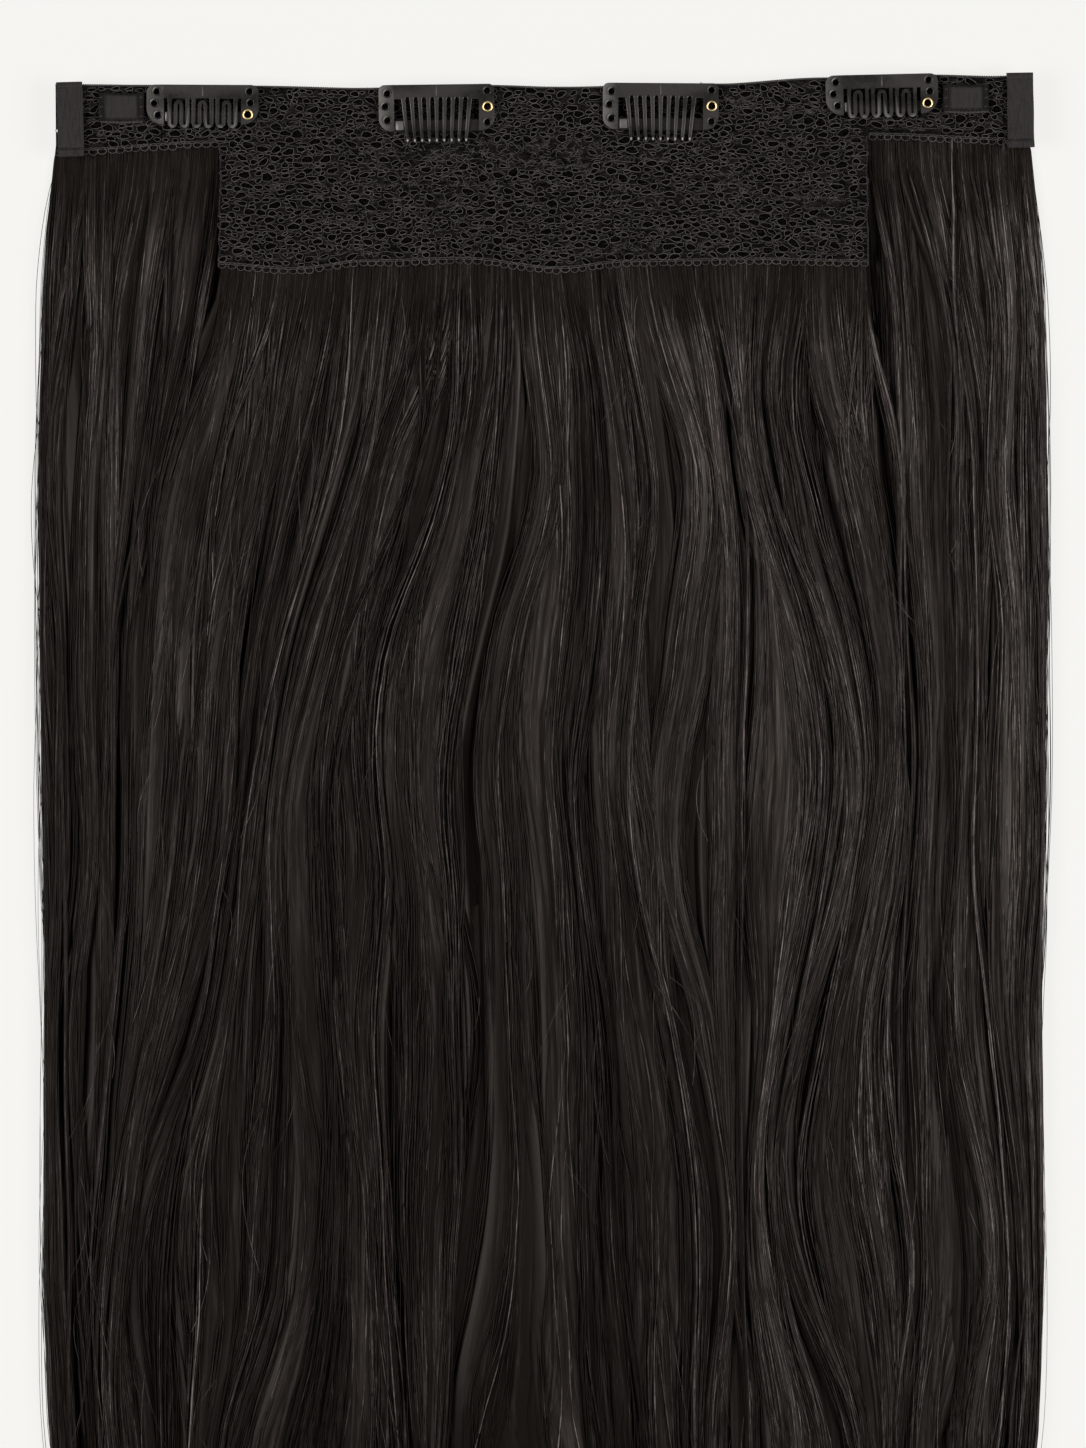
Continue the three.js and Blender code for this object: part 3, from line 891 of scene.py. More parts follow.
@dataclass
class Hair:
    """The hair: a body below, near black as painted shade, locks of strands over it and loose hairs at its
    sides.
    """

    cut: Cut
    flow: Flow = field(default_factory=Flow)
    finish: HairFinish = HairFinish("hair_strands")
    deep: DeepHairFinish = DeepHairFinish("hair_depths")
    half_width: float = 142.6
    length: float = 457.0
    points: int = 38
    wisp_width: float = 1.7
    loose_end: float = 446.0
    ragged_from: float = 385.0
    width_share: Table = field(
        default_factory=lambda: [
            (6, 0.936), (14, 0.958), (22, 0.97), (40, 0.984), (60, 0.993), (95, 0.999),
            (150, 0.999), (200, 0.995), (257, 0.987), (336, 0.991), (380, 0.98), (408, 0.962),
            (457, 0.935),
        ]
    )
    height: Table = field(
        default_factory=lambda: [
            (6, 5.2), (22, 5.4), (40, 7.2), (60, 8.8), (95, 11.0), (150, 12.6), (210, 12.8),
            (270, 12.4), (330, 11.4), (380, 9.4), (410, 7.0), (440, 4.4), (457, 2.6),
        ]
    )

    def __post_init__(self) -> None:
        """Draw the fields that the locks sway by, and the one their painted sheen follows."""
        self.ripple = Drift(23)
        self.weave = Drift(37)
        self.sheen = Drift(53)

    def edge_share(self, x: Array, drop: Array) -> Array:
        """Height at a place across, as a share of the middle's."""
        across = np.abs(x) / (straight(self.width_share, drop) * self.half_width)
        return 1.0 - 0.62 * np.clip(across, 0.0, 1.04) ** 11

    def ceiling(self, x: Array, drop: Array) -> Array:
        """How high a strand may lie: below the lace where it covers the hair."""
        free = straight(self.height, drop) * self.edge_share(x, drop)
        edge = self.cut.lower(x)
        out = smoothstep(-2.0, 24.0, drop - edge)
        under = self.cut.underside(x, np.minimum(drop, edge)) - 0.5
        under = under - 0.9 * smoothstep(-9.0, -1.0, drop - edge)
        under = np.minimum(under, free) * np.minimum(1.0, self.edge_share(x, drop) + 0.15)
        return under + (free - under) * out

    def kept_in(self, x: Array, drop: Array, inset: float) -> Array:
        """Bring places across softly inside the hair's outline.

        Args:
            x: Places across.
            drop: How far down they are.
            inset: How far inside the outline they stay.

        Returns:
            The places, brought in.
        """
        limit = straight(self.width_share, drop) * self.half_width - inset
        over = np.maximum(0.0, np.abs(x) - limit + 2.0)
        return np.sign(x) * (np.abs(x) - over + 2.0 * (1.0 - np.exp(-over / 2.0)))

    def shadow(self, x: Array, drop: Array, edge: float) -> Array:
        """How much darker the hair is where the lace's edge and the flap's side keep the light off it.

        Args:
            x: Places across.
            drop: How far down they are.
            edge: Drop of the lace's edge over the lock.

        Returns:
            The share of lightness taken off.
        """
        flap = self.cut.flap_half_width
        reach = 25.0 if edge > 40.0 else 31.0
        below = 0.43 * smoothstep(reach, 0.0, drop - edge)
        side = 0.34 * smoothstep(8.0, 1.0, np.abs(x) - flap) * (np.abs(x) > flap - 0.5)
        return below + side * smoothstep(66.0, 46.0, drop)

    def edge(self, lock: Lock) -> float:
        """Drop of the lace's edge over a lock."""
        return float(self.cut.lower(np.array(lock.root)))

    def lie(self, lock: Lock, a: Array, drop: Array, wisp: Array) -> tuple[Array, Array, Array]:
        """Where the hairs of a lock lie.

        Args:
            lock: The lock.
            a: Places across it, -1 and 1 at its edges.
            drop: How far down they are.
            wisp: Numbers of the wisps they belong to.

        Returns:
            Places across, heights of the lock's upper side, and how far its waves sink it.
        """
        edge, flap = self.edge(lock), self.cut.flap_half_width
        loose = smoothstep(edge, edge + 60.0, drop)
        centre = self.flow.at(lock.root, drop)
        own = self.flow.at(lock.root + a * lock.half_width, drop) - centre
        tip = smoothstep(0.82, 1.0, drop / self.length)
        grip = (0.86 + 0.24 * self.ripple.at(lock.seed + 9.0, drop / 80.0)) * (1.0 - 0.5 * tip)
        x = centre + own * (1.0 + (grip - 1.0) * loose)
        x = x + 3.6 * self.ripple.at(lock.seed, drop / 54.0) * loose
        x = x + lock.sway * (loose - 0.8 * smoothstep(edge + 50.0, edge + 170.0, drop))
        x = self.kept_in(x, drop, 0.5)
        if abs(lock.root) < flap:
            under = smoothstep(edge + 44.0, edge - 1.0, drop)
            x = x + under * (np.clip(x, 0.8 - flap, flap - 0.8) - x)
        top = self.ceiling(x, drop) - 0.2
        lens = lock.crown * (1.0 - np.sqrt(np.clip(1.0 - np.minimum(np.abs(a), 1.0) ** 2, 0.0, 1.0)))
        lift = 0.9 * self.weave.at(lock.seed + 31.0, drop / 56.0)
        lift = lift + 0.45 * self.weave.at(wisp * 2.3 + lock.seed, drop / 40.0)
        beside = 1.3 if flap < abs(lock.root) < flap + 26.0 else 0.0
        low = (lock.sink + beside) * smoothstep(0.0, 45.0, drop - edge)
        z = top - (lens + 0.6 + lift) * smoothstep(-4.0, 34.0, drop - edge) - low
        return x, np.minimum(z, top), lift

    def tint(self, lock: Lock, a: Array, x: Array, drop: Array, lift: Array) -> Array:
        """How light a lock is, with painted light and shade: paler along its crest and darker at its edges
        and where its waves sink it, painted shadow below the lace and beside the flap, painted sheen in
        patches along it, a painted fall of light towards its tip, darker low in the middle and lighter to
        the right.

        Args:
            lock: The lock.
            a: Places across it.
            x: Places across the part.
            drop: How far down they are.
            lift: How far its waves sink it.

        Returns:
            The lightness.
        """
        # Painted shade: darker towards the lock's edges and where its waves sink it.
        tone = lock.tone - 0.2 * np.minimum(np.abs(a), 1.2) ** 2.4 - 0.06 * lift
        tone = tone - 0.15 * np.exp(-((x / 70.0) ** 2)) * smoothstep(210.0, 310.0, drop) + 0.001 * x
        # Painted sheen in patches along the lock.
        tone = tone + 0.13 * self.sheen.at(lock.seed + 1.6 * a, drop / 46.0)
        tone = tone + 0.15 * self.sheen.at(lock.seed * 1.7, drop / 58.0)
        # Painted shadow below the lace and beside the flap, and a painted fall of light towards the tip.
        return tone - self.shadow(x, drop, self.edge(lock)) + 0.02 - 0.17 * smoothstep(70.0, 250.0, drop)

    def strands(self, tubes: Tubes, rng: Chances, lock: Lock) -> None:
        """Add a lock's strands, gathered into wisps.

        Args:
            tubes: Where the strands go.
            rng: Source of their chances.
            lock: The lock.
        """
        edge = self.edge(lock)
        count = lock.strands
        wisps = max(2, round(2 * lock.half_width / self.wisp_width))
        of = rng.integers(0, wisps, count)
        spread = (np.arange(wisps) + 0.5 + rng.uniform(-0.3, 0.3, wisps)) / wisps * 2.0 - 1.0
        a0 = spread[of] + rng.normal(0.0, 0.7 / wisps, count)
        deep = rng.uniform(0.0, 1.0, count) ** 1.5
        start = edge - rng.uniform(9.0, 15.0, count)
        stop = self.length - lock.short - 4.0 - np.abs(rng.normal(0.0, 16.0, count))
        share = np.append(np.linspace(0.0, 0.86, self.points - 3), [0.91, 0.96, 1.0])[None, :]
        drop = start[:, None] + (stop - start)[:, None] * share
        each = np.arange(count)[:, None]
        roam = self.weave.at(of[:, None] * 1.71 + lock.seed * 7.0, drop / 66.0)
        stray = self.weave.at(each * 0.71 + lock.seed * 3.0, drop / 40.0)
        a = a0[:, None] + (0.3 * roam + 0.17 * stray) * smoothstep(edge + 4.0, edge + 80.0, drop)
        a = a + 0.3 / lock.half_width * self.weave.at(each * 1.37 + lock.seed, drop / 13.0)
        x, z, lift = self.lie(lock, a, drop, of[:, None])
        z = np.clip(z - 0.7 * deep[:, None] * smoothstep(-4.0, 34.0, drop - edge), 0.3, None)
        radius = rng.uniform(0.14, 0.27, count)[:, None] * (1.0 - 0.75 * smoothstep(0.9, 1.0, share))
        # Painted shade: strands that lie deeper are darker.
        own = rng.normal(0.0, 0.05, wisps)[of] + rng.normal(0.02, 0.14, count) - 0.1 * deep
        vary = 1.0 + 0.6 * smoothstep(edge + 60.0, edge, drop) + 0.35 * smoothstep(200.0, 320.0, drop)
        tone = self.tint(lock, a, x, drop, lift) + own[:, None] * vary
        # Painted sheen along each strand.
        tone = tone + 0.08 * self.sheen.at(each * 0.37 + lock.seed * 3.0, drop / 24.0)
        tubes.add(laid(x, drop, z), radius, np.clip(tone, 0.0, 1.0))

    def filling(self, forms: Tubes, lock: Lock) -> None:
        """Add the closed body of a lock, just below its strands.

        Args:
            forms: Where it goes, with eleven sides.
            lock: The lock.
        """
        edge = self.edge(lock)
        share = np.append(np.linspace(0.0, 0.87, 31), [0.9, 0.93, 0.96, 0.985, 1.0])[:, None]
        reach = self.length - lock.short - edge - (0.0 if lock.strands else 26.0)
        drop = edge - 12.0 + reach * share
        a = np.concatenate([np.linspace(-1.0, 1.0, 9), [0.6, -0.6]])[None, :]
        drop, a = np.broadcast_arrays(drop, a)
        x, z, lift = self.lie(lock, a * (1.0 - 0.94 * smoothstep(0.86, 1.02, share)), drop, 2.0 * a)
        z = np.clip(z - 0.1 - 0.32 * smoothstep(-4.0, 34.0, drop - edge), 0.6, None)
        z[:, 9:] = np.clip(np.minimum(z[:, :1], z[:, 8:9]) - 0.4, 0.25, None)
        across = a * lock.half_width * 1.25 + lock.seed * 13.0
        across = across + 0.4 * self.weave.at(lock.seed + 2.0 * a, drop / 16.0)
        course = np.stack([across, 0.3 * drop, 0.0 * drop], -1)
        # A little darker than the strands, as painted shade below them.
        tone = np.clip(self.tint(lock, a, x, drop, lift) - 0.02, 0.0, 1.0)
        forms.loft(laid(x, drop, z)[None], tone[None], course[None])

    def loose_hairs(self, tubes: Tubes, rng: Chances, count: int) -> None:
        """Add the fine hairs that stand off the sides.

        Args:
            tubes: Where they go.
            rng: Source of their chances.
            count: How many there are on both sides together.
        """
        side = np.where(rng.uniform(size=count) < 0.5, -1.0, 1.0)
        start = rng.uniform(24.0, 340.0, count)
        stop = np.minimum(start + rng.uniform(50.0, 170.0, count), self.loose_end)
        share = np.linspace(0.0, 1.0, 16)[None, :]
        drop = start[:, None] + (stop - start)[:, None] * share
        each = np.arange(count)[:, None]
        out = np.minimum(rng.gamma(1.3, 0.55, count), 2.4)[:, None] * np.sin(math.pi * share) ** 0.7
        bend = 0.5 * self.weave.at(each * 1.3, drop / 40.0)
        limit = straight(self.width_share, drop) * self.half_width - 1.2
        x = side[:, None] * (limit + out + bend * np.sin(math.pi * share))
        z = rng.uniform(0.8, 4.5, count)[:, None] + 0.6 * self.weave.at(each * 2.1, drop / 60.0)
        z = np.clip(z, 0.2, None)
        radius = rng.uniform(0.05, 0.1, count)[:, None] * np.ones_like(drop)
        tubes.add(laid(x, drop, z), radius, rng.uniform(0.2, 0.7, count))

    def stray_hairs(self, tubes: Tubes, rng: Chances, count: int) -> None:
        """Add fine hairs that lie slantwise over the locks.

        Args:
            tubes: Where they go.
            rng: Source of their chances.
            count: How many there are.
        """
        root = rng.uniform(-128.0, 128.0, count)
        start = np.maximum(rng.uniform(30.0, 390.0, count), self.cut.lower(root) + 8.0)
        stop = np.minimum(start + rng.uniform(16.0, 64.0, count), self.loose_end)
        share = np.linspace(0.0, 1.0, 11)[None, :]
        drop = start[:, None] + (stop - start)[:, None] * share
        slant = rng.normal(0.0, 2.6, count)[:, None] * (share - 0.5) * 2.0
        slant = slant + rng.normal(0.0, 2.0, count)[:, None] * (share - 0.5) ** 2 * 4.0
        roam = self.weave.at(np.arange(count)[:, None] * 1.9, drop / 34.0)
        x = self.kept_in(self.flow.at(root[:, None], drop) + slant + 1.2 * roam, drop, 0.8)
        z = self.ceiling(x, drop) - 0.3 + 0.3 * np.sin(math.pi * share)
        radius = rng.uniform(0.05, 0.09, count)[:, None] * np.ones_like(drop)
        tubes.add(laid(x, drop, z), radius, rng.uniform(0.5, 0.85, count))

    def underside_hairs(self, tubes: Tubes, rng: Chances, count: int) -> None:
        """Add the strands that the hair lies on.

        Args:
            tubes: Where they go.
            rng: Source of their chances.
            count: How many there are.
        """
        root = np.linspace(-134.0, 134.0, count) + rng.normal(0.0, 0.6, count)
        stop = self.length - 6.0 - np.abs(rng.normal(0.0, 20.0, count))
        share = np.linspace(0.0, 1.0, 20)[None, :]
        drop = 9.0 + (stop[:, None] - 9.0) * share
        x = root[:, None] * straight(self.width_share, drop) * self.half_width / 136.0
        each = np.arange(count)[:, None]
        x = x + 4.0 * self.weave.at(each * 0.05, drop / 90.0)
        x = self.kept_in(x + 1.5 * self.weave.at(each * 0.9, drop / 60.0), drop, 1.6)
        z = rng.uniform(0.35, 0.75, count)[:, None] * np.ones_like(drop)
        radius = 0.3 * (1.0 - 0.75 * smoothstep(0.9, 1.0, share)) * np.ones_like(drop)
        tubes.add(laid(x, drop, z), radius, rng.uniform(0.2, 0.6, count))

    def body(self) -> Object:
        """Make the body that closes the hair below its strands, near black as painted shade.

        Returns:
            The object.
        """
        drops = np.concatenate([np.linspace(8.0, 70.0, 14), np.linspace(80.0, 402.0, 26)])
        across = np.linspace(-1.0, 1.0, 72)
        drop, share = np.meshgrid(drops, across, indexing="ij")
        ragged = np.where(drop > self.ragged_from, 9.0 * self.weave.at(share * 20.0, drop * 0.0), 0.0)
        drop = drop + ragged
        x = share * (straight(self.width_share, drop) * self.half_width - 1.3)
        settled = smoothstep(0.0, 40.0, drop - self.cut.lower(x))
        high = self.ceiling(x, drop) - 0.5 - 6.4 * settled
        high = np.maximum(high * (1.0 - 0.5 * smoothstep(0.97, 1.0, np.abs(share))), 1.0)
        high = np.where(drop > self.ragged_from, np.minimum(high, 1.6), high)
        return grid_sheet("hair_body", x, BAND_TOP - drop, np.full_like(x, 0.35), high)

    def locks(self, rng: Chances) -> list[Lock]:
        """Lay out the locks: ones below, darker as painted shade, the main ones, and thin ones over them.

        Args:
            rng: Source of their chances.

        Returns:
            The locks, from the lowest to the highest.
        """
        made = []

        def lay(
            root: float, half: float, strands: int, sink: float, crown: float, tone: float, sway: float
        ) -> None:
            """Lay one lock, with its own chances."""
            seed, short = rng.uniform(0.0, 60.0), abs(rng.normal(0.0, 13.0))
            made.append(Lock(root, half, strands, sink, crown, tone, seed, rng.normal(0.0, sway), short))

        # The locks below get darker tones as painted shade.
        for root in np.linspace(-131.0, 131.0, 24) + rng.uniform(-2.5, 2.5, 24):
            lay(float(root), rng.uniform(9.0, 11.0), 0, 3.0, 0.8, rng.uniform(0.3, 0.44), 2.0)
        for root in (-136.6, -134.4, -132.0, 132.0, 134.4, 136.6):
            lay(root, 1.9, 24, 0.6, 1.3, rng.uniform(0.4, 0.56), 0.5)
        for root in np.linspace(-133.0, 133.0, 30) + rng.uniform(-2.4, 2.4, 30):
            half, sink, crown = rng.uniform(4.6, 7.2), rng.uniform(0.1, 1.8), rng.uniform(1.8, 3.0)
            lay(float(root), half, 56, sink, crown, rng.uniform(0.43, 0.6), 3.2)
        for root in rng.uniform(-131.0, 131.0, 34):
            lay(float(root), rng.uniform(0.9, 2.6), 16, 0.0, 1.4, rng.uniform(0.46, 0.6), 3.2)
        return made

    def build(self) -> None:
        """Make all the hair, its body first."""
        rng = np.random.default_rng(5)
        Piece(self.body(), Body.HALO, Slot.HAIR, self.deep.make()).settle("hair")
        dressed = self.finish.make()
        locks = self.locks(rng)
        forms = Tubes(sides=11)
        for lock in locks:
            if lock.half_width > 4.0:
                self.filling(forms, lock)
        Piece(forms.build("hair_locks"), Body.HALO, Slot.HAIR, dressed).settle()
        shares = (("far_left", -200, -68), ("left", -68, 0), ("right", 0, 68), ("far_right", 68, 200))
        for name, low, high in shares:
            tubes = Tubes()
            for lock in locks:
                if low <= lock.root < high and lock.strands:
                    self.strands(tubes, rng, lock)
            Piece(tubes.build(f"hair_{name}"), Body.HALO, Slot.HAIR, dressed).settle()
        tubes = Tubes()
        self.loose_hairs(tubes, rng, 130)
        self.stray_hairs(tubes, rng, 230)
        self.underside_hairs(tubes, rng, 110)
        Piece(tubes.build("hair_loose"), Body.HALO, Slot.HAIR, dressed).settle()


@dataclass
class Lace:
    """The openwork lace: a knitted ground with small holes, yarns that ring them and a scalloped edge."""

    cut: Cut
    yarn: YarnFinish = YarnFinish("lace_yarn")
    knit: KnitFinish = KnitFinish("lace_ground")
    net: BackingFinish = BackingFinish("lace_backing")
    thickness: float = 1.2
    ground: float = 0.5
    rim: float = 0.1
    hole_points: int = 8
    covered: tuple[Triple, ...] = (
        (-95.4, 3.4, 11.4), (-30.0, 3.3, 14.6), (32.9, 2.9, 14.6), (94.7, 0.5, 11.4),
    )
    hole_space: Pair = (2.25, 1.36)
    scallop: float = 2.46

    def face(self, x: Array, drop: Array) -> Array:
        """Height of the lace's upper face."""
        return self.cut.underside(x, drop) + self.thickness

    def level(self, x: Array, drop: Array) -> Array:
        """Height of the knitted ground's upper side."""
        return self.face(x, drop) - 0.42

    def dim(self, x: Array, drop: Array) -> Array:
        """How much darker the lace is where a clip keeps the light off it."""
        below = np.zeros(np.broadcast(x, drop).shape)
        for middle, top, deep in self.covered:
            reach = np.where(drop - top > 12.0, 10.0, 13.6)
            within = smoothstep(0.0, -1.2, np.abs(x - middle) - reach) * smoothstep(-0.5, 0.8, drop - top)
            below = np.maximum(below, within * smoothstep(deep + 0.8, deep - 0.6, drop - top))
        return below

    def areas(self) -> list[Pair]:
        """Stretches of the lower edge as (left, right)."""
        half, flap = self.cut.half_width, self.cut.flap_half_width
        return [(-half, -flap), (-flap, flap), (flap, half)]

    def inside(self, x: Array, drop: Array, margin: float) -> Array:
        """Whether places are inside the lace's outline by a margin."""
        within = (np.abs(x) < self.cut.half_width - margin) & (drop > self.cut.top(x) + margin)
        beside = np.abs(np.abs(x) - self.cut.flap_half_width) < margin
        lower = np.where(beside, eased(self.cut.band_edge, x), self.cut.lower(x))
        return within & (drop < lower - 1.0 - margin)

    def outline(self) -> Array:
        """Walk round the lace's outline.

        Returns:
            Places as (x, drop), in order.
        """
        half = self.cut.half_width
        wander = Drift(67)
        top = np.linspace(-half, half, 130)
        walks = [np.stack([top, self.cut.top(top) + 0.4 + 0.15 * wander.at(top / 2.3, 3.0)], -1)]
        for left, right in reversed(self.areas()):
            along = np.linspace(right - 0.15, left + 0.15, int((right - left) / 2.0))
            low = self.cut.lower(np.clip(along, left + 0.5, right - 0.5)) - 1.2
            walks.append(np.stack([along, low], -1))
            if left > -half:
                beyond = float(self.cut.lower(np.array(left - 0.6))) - 1.2
                drop = np.linspace(low[-1], beyond, 22)[1:-1]
                walks.append(np.stack([left + 0.28 * wander.at(drop / 2.6 + 9.0, left), drop], -1))
        return np.concatenate(walks)

    def holes(self, rng: Chances) -> tuple[Array, Array]:
        """Scatter the holes so that none meets another.

        Args:
            rng: Source of their chances.

        Returns:
            Their rims as (hole, point, (x, drop)) and their sizes.
        """
        wide, high = self.hole_space
        cloud = Drift(61)
        spots = np.stack([rng.uniform(-136.0, 136.0, 26000), rng.uniform(1.0, 56.0, 26000)], -1)
        dense = cloud.at(spots[:, 0] / 26.0 + 20.0, spots[:, 1] / 2.2 + 5.0)
        half = np.clip(rng.lognormal(0.13 + 0.14 * dense, 0.27), 0.66, 1.7)
        open_here = dense + rng.normal(0.0, 0.16, len(spots)) > -0.36
        keep = self.inside(spots[:, 0], spots[:, 1], 1.15) & open_here
        spots, half = spots[keep], half[keep]
        taken = np.zeros((0, 3))
        for (x, drop), size in zip(spots, half):
            room = 0.5 * (taken[:, 2] + size) / 1.1
            apart = np.hypot((taken[:, 0] - x) / wide, (taken[:, 1] - drop) / high)
            if not len(taken) or (apart > np.clip(room, 0.75, 1.5)).all():
                taken = np.concatenate([taken, [[x, drop, size]]])
        count = len(taken)
        sweep = 2 * math.pi * np.arange(self.hole_points)[None, :] / self.hole_points
        bulge = 1.0 + 0.14 * np.cos(2 * sweep + rng.uniform(0, 6.28, (count, 1)))
        bulge = bulge + 0.13 * np.cos(3 * sweep + rng.uniform(0, 6.28, (count, 1)))
        u = taken[:, 2:] * bulge * np.cos(sweep)
        v = taken[:, 2:] * rng.uniform(0.46, 0.68, (count, 1)) * bulge * np.sin(sweep)
        turn = rng.normal(0.0, 0.24, (count, 1))
        x = taken[:, :1] + u * np.cos(turn) - v * np.sin(turn)
        drop = taken[:, 1:2] + u * np.sin(turn) + v * np.cos(turn)
        return np.stack([x, drop], -1), taken[:, 2]

    def sheet(self, rims: Array) -> tuple[Object, float]:
        """Make the knitted ground with its holes cut out.

        Args:
            rims: The holes' rims.

        Returns:
            The object and its flat area in square metres.
        """
        edge = self.outline()
        flat = np.concatenate([edge, rims.reshape(-1, 2)])
        size = rims.shape[1]
        faces = [list(range(len(edge)))]
        faces += [list(range(len(edge) + k * size, len(edge) + (k + 1) * size)) for k in range(len(rims))]
        spots, _, cells, _, _, origin = delaunay_2d_cdt([Vector(p) for p in flat], [], faces, 1, 1e-7)
        spots = np.array([(p.x, p.y) for p in spots])
        cells = np.array([c for c, o in zip(cells, origin) if o == [0]])
        a, b, c = spots[cells[:, 0]], spots[cells[:, 1]], spots[cells[:, 2]]
        turn = (b - a)[:, 0] * (c - a)[:, 1] - (b - a)[:, 1] * (c - a)[:, 0]
        cells = np.where((turn < 0.0)[:, None], cells, cells[:, ::-1])
        pairs = np.concatenate([cells[:, [0, 1]], cells[:, [1, 2]], cells[:, [2, 0]]])
        twins = {(i, j) for i, j in pairs.tolist()}
        rim = np.array([(i, j) for i, j in pairs.tolist() if (j, i) not in twins])
        high = self.level(spots[:, 0], spots[:, 1])
        place = np.stack([spots[:, 0], BAND_TOP - spots[:, 1]], -1)
        points = np.concatenate([np.c_[place, high], np.c_[place, high - self.ground]])
        count = len(spots)
        wall = np.stack([rim[:, 1], rim[:, 0], rim[:, 0] + count, rim[:, 1] + count], -1)
        mesh = bpy.data.meshes.new("lace_ground")
        triangles = np.concatenate([cells, cells[:, ::-1] + count]).tolist()
        mesh.from_pydata((points * MM).tolist(), [], triangles + wall.tolist())
        mesh.validate()
        obj = linked("lace_ground", mesh)
        # Painted shade under the clips, marked for the ground's finish.
        mark(obj, "dim", np.tile(0.25 * self.dim(spots[:, 0], spots[:, 1]), 2))
        return obj, float(np.abs(turn).sum() / 2) * MM * MM

    def backing(self) -> Object:
        """Make the net behind the lace.

        Returns:
            The object.
        """
        half = self.cut.half_width - 0.5
        flap = self.cut.flap_half_width
        wing = np.linspace(-half, -flap - 0.3, 16)
        stations = np.concatenate([wing, np.linspace(0.5 - flap, flap - 0.5, 60), -wing[::-1]])
        share, x = np.meshgrid(np.linspace(0.0, 1.0, 18), stations, indexing="ij")
        drop = self.cut.top(x) + 0.45 + (self.cut.lower(x) - self.cut.top(x) - 1.95) * share
        low = self.cut.underside(x, drop) + 0.02
        return grid_sheet("lace_backing", x, BAND_TOP - drop, low, low + 0.2)

    def rings(self, rims: Array, sizes: Array, rng: Chances) -> Object:
        """Make the yarns that ring the holes.

        Args:
            rims: The holes' rims.
            sizes: The holes' sizes.
            rng: Source of their chances.

        Returns:
            The object.
        """
        middle = rims.mean(1, keepdims=True)
        lines = middle + (rims - middle) * (1.0 + 0.12 / sizes[:, None, None])
        x, drop = lines[..., 0], lines[..., 1]
        sweep = 2 * math.pi * np.arange(self.hole_points)[None, :] / self.hole_points
        lift = 0.12 * np.sin(2 * sweep + rng.uniform(0, 6.28, (len(x), 1)))
        thick = rng.uniform(0.07, 0.105, (len(x), 1)) * np.ones_like(x)
        cloud = Drift(73)
        tone = rng.normal(0.93, 0.16, (len(x), 1)) + 0.22 * cloud.at(x / 15.0 + 30.0, drop / 3.0 + 9.0)
        # Painted shade: yarns under the clips are darkened.
        tone = tone + 0.12 * np.sin(sweep + rng.uniform(0, 6.28, (len(x), 1))) - 0.6 * self.dim(x, drop)
        tubes = Tubes()
        place = laid(x, drop, self.level(x, drop) + self.rim + lift)
        tubes.add(place, thick, np.clip(tone, 0.02, 1.0), closed=True)
        return tubes.build("lace_rings")

    @staticmethod
    def open_at(x: Array, drop: Array, rims: Array) -> Array:
        """Tell which places lie over a hole.

        Args:
            x: Places across.
            drop: How far down they are.
            rims: The holes' rims.

        Returns:
            Whether each lies over one.
        """
        middle, reach = rims.mean(1), np.ptp(rims, axis=1) / 2
        flat = np.stack([x.ravel(), drop.ravel()], -1)
        near = []
        for part in np.array_split(flat, 24):
            apart = np.linalg.norm((part[:, None] - middle) / reach, axis=2)
            near.append((apart < 0.95).any(1))
        return np.concatenate(near).reshape(x.shape)

    def trims(self, rims: Array, rng: Chances) -> Object:
        """Make the crossing yarns, the rows, the corded edges and the scallops.

        Args:
            rims: The holes' rims.
            rng: Source of their chances.

        Returns:
            The object.
        """
        tubes = Tubes()
        self.cross_yarns(tubes, rims, rng, 2700)
        self.rows(tubes, rims)
        self.borders(tubes)
        self.scallops(tubes, rng)
        return tubes.build("lace_trims")

    def cross_yarns(self, tubes: Tubes, rims: Array, rng: Chances, count: int) -> None:
        """Add short bent yarns that lie over the ground between the holes.

        Args:
            tubes: Where they go.
            rims: The holes' rims.
            rng: Source of their chances.
            count: How many there are at most.
        """
        x0, drop0 = rng.uniform(-135.0, 135.0, 14000), rng.uniform(1.0, 55.0, 14000)
        kept = np.nonzero(self.inside(x0, drop0, 2.0))[0]
        x0, drop0 = x0[kept, None], drop0[kept, None]
        along = np.linspace(-1.0, 1.0, 5)[None, :]
        run = rng.uniform(0.5, 1.4, len(kept))[:, None]
        turn = rng.normal(0.0, 0.6, len(kept))[:, None]
        sag = rng.normal(0.0, 0.55, len(kept))[:, None] * (1 - along**2)
        x = x0 + run * along * np.cos(turn) - sag * np.sin(turn)
        drop = drop0 + run * along * np.sin(turn) + sag * np.cos(turn)
        drop = np.clip(drop, self.cut.top(x) + 0.3, self.cut.lower(x) - 1.2)
        clear = np.nonzero(~self.open_at(x, drop, rims).any(1))[0][:count]
        x, drop = x[clear], drop[clear]
        z = self.level(x, drop) + 0.06 + 0.14 * (1 - along**2)
        # Painted shade: yarns under the clips are darkened.
        tone = np.clip(rng.normal(0.62, 0.22, (len(clear), 1)) - 0.6 * self.dim(x, drop), 0.0, 1.0)
        tubes.add(laid(x, drop, z), np.full(x.shape, 0.062), tone)

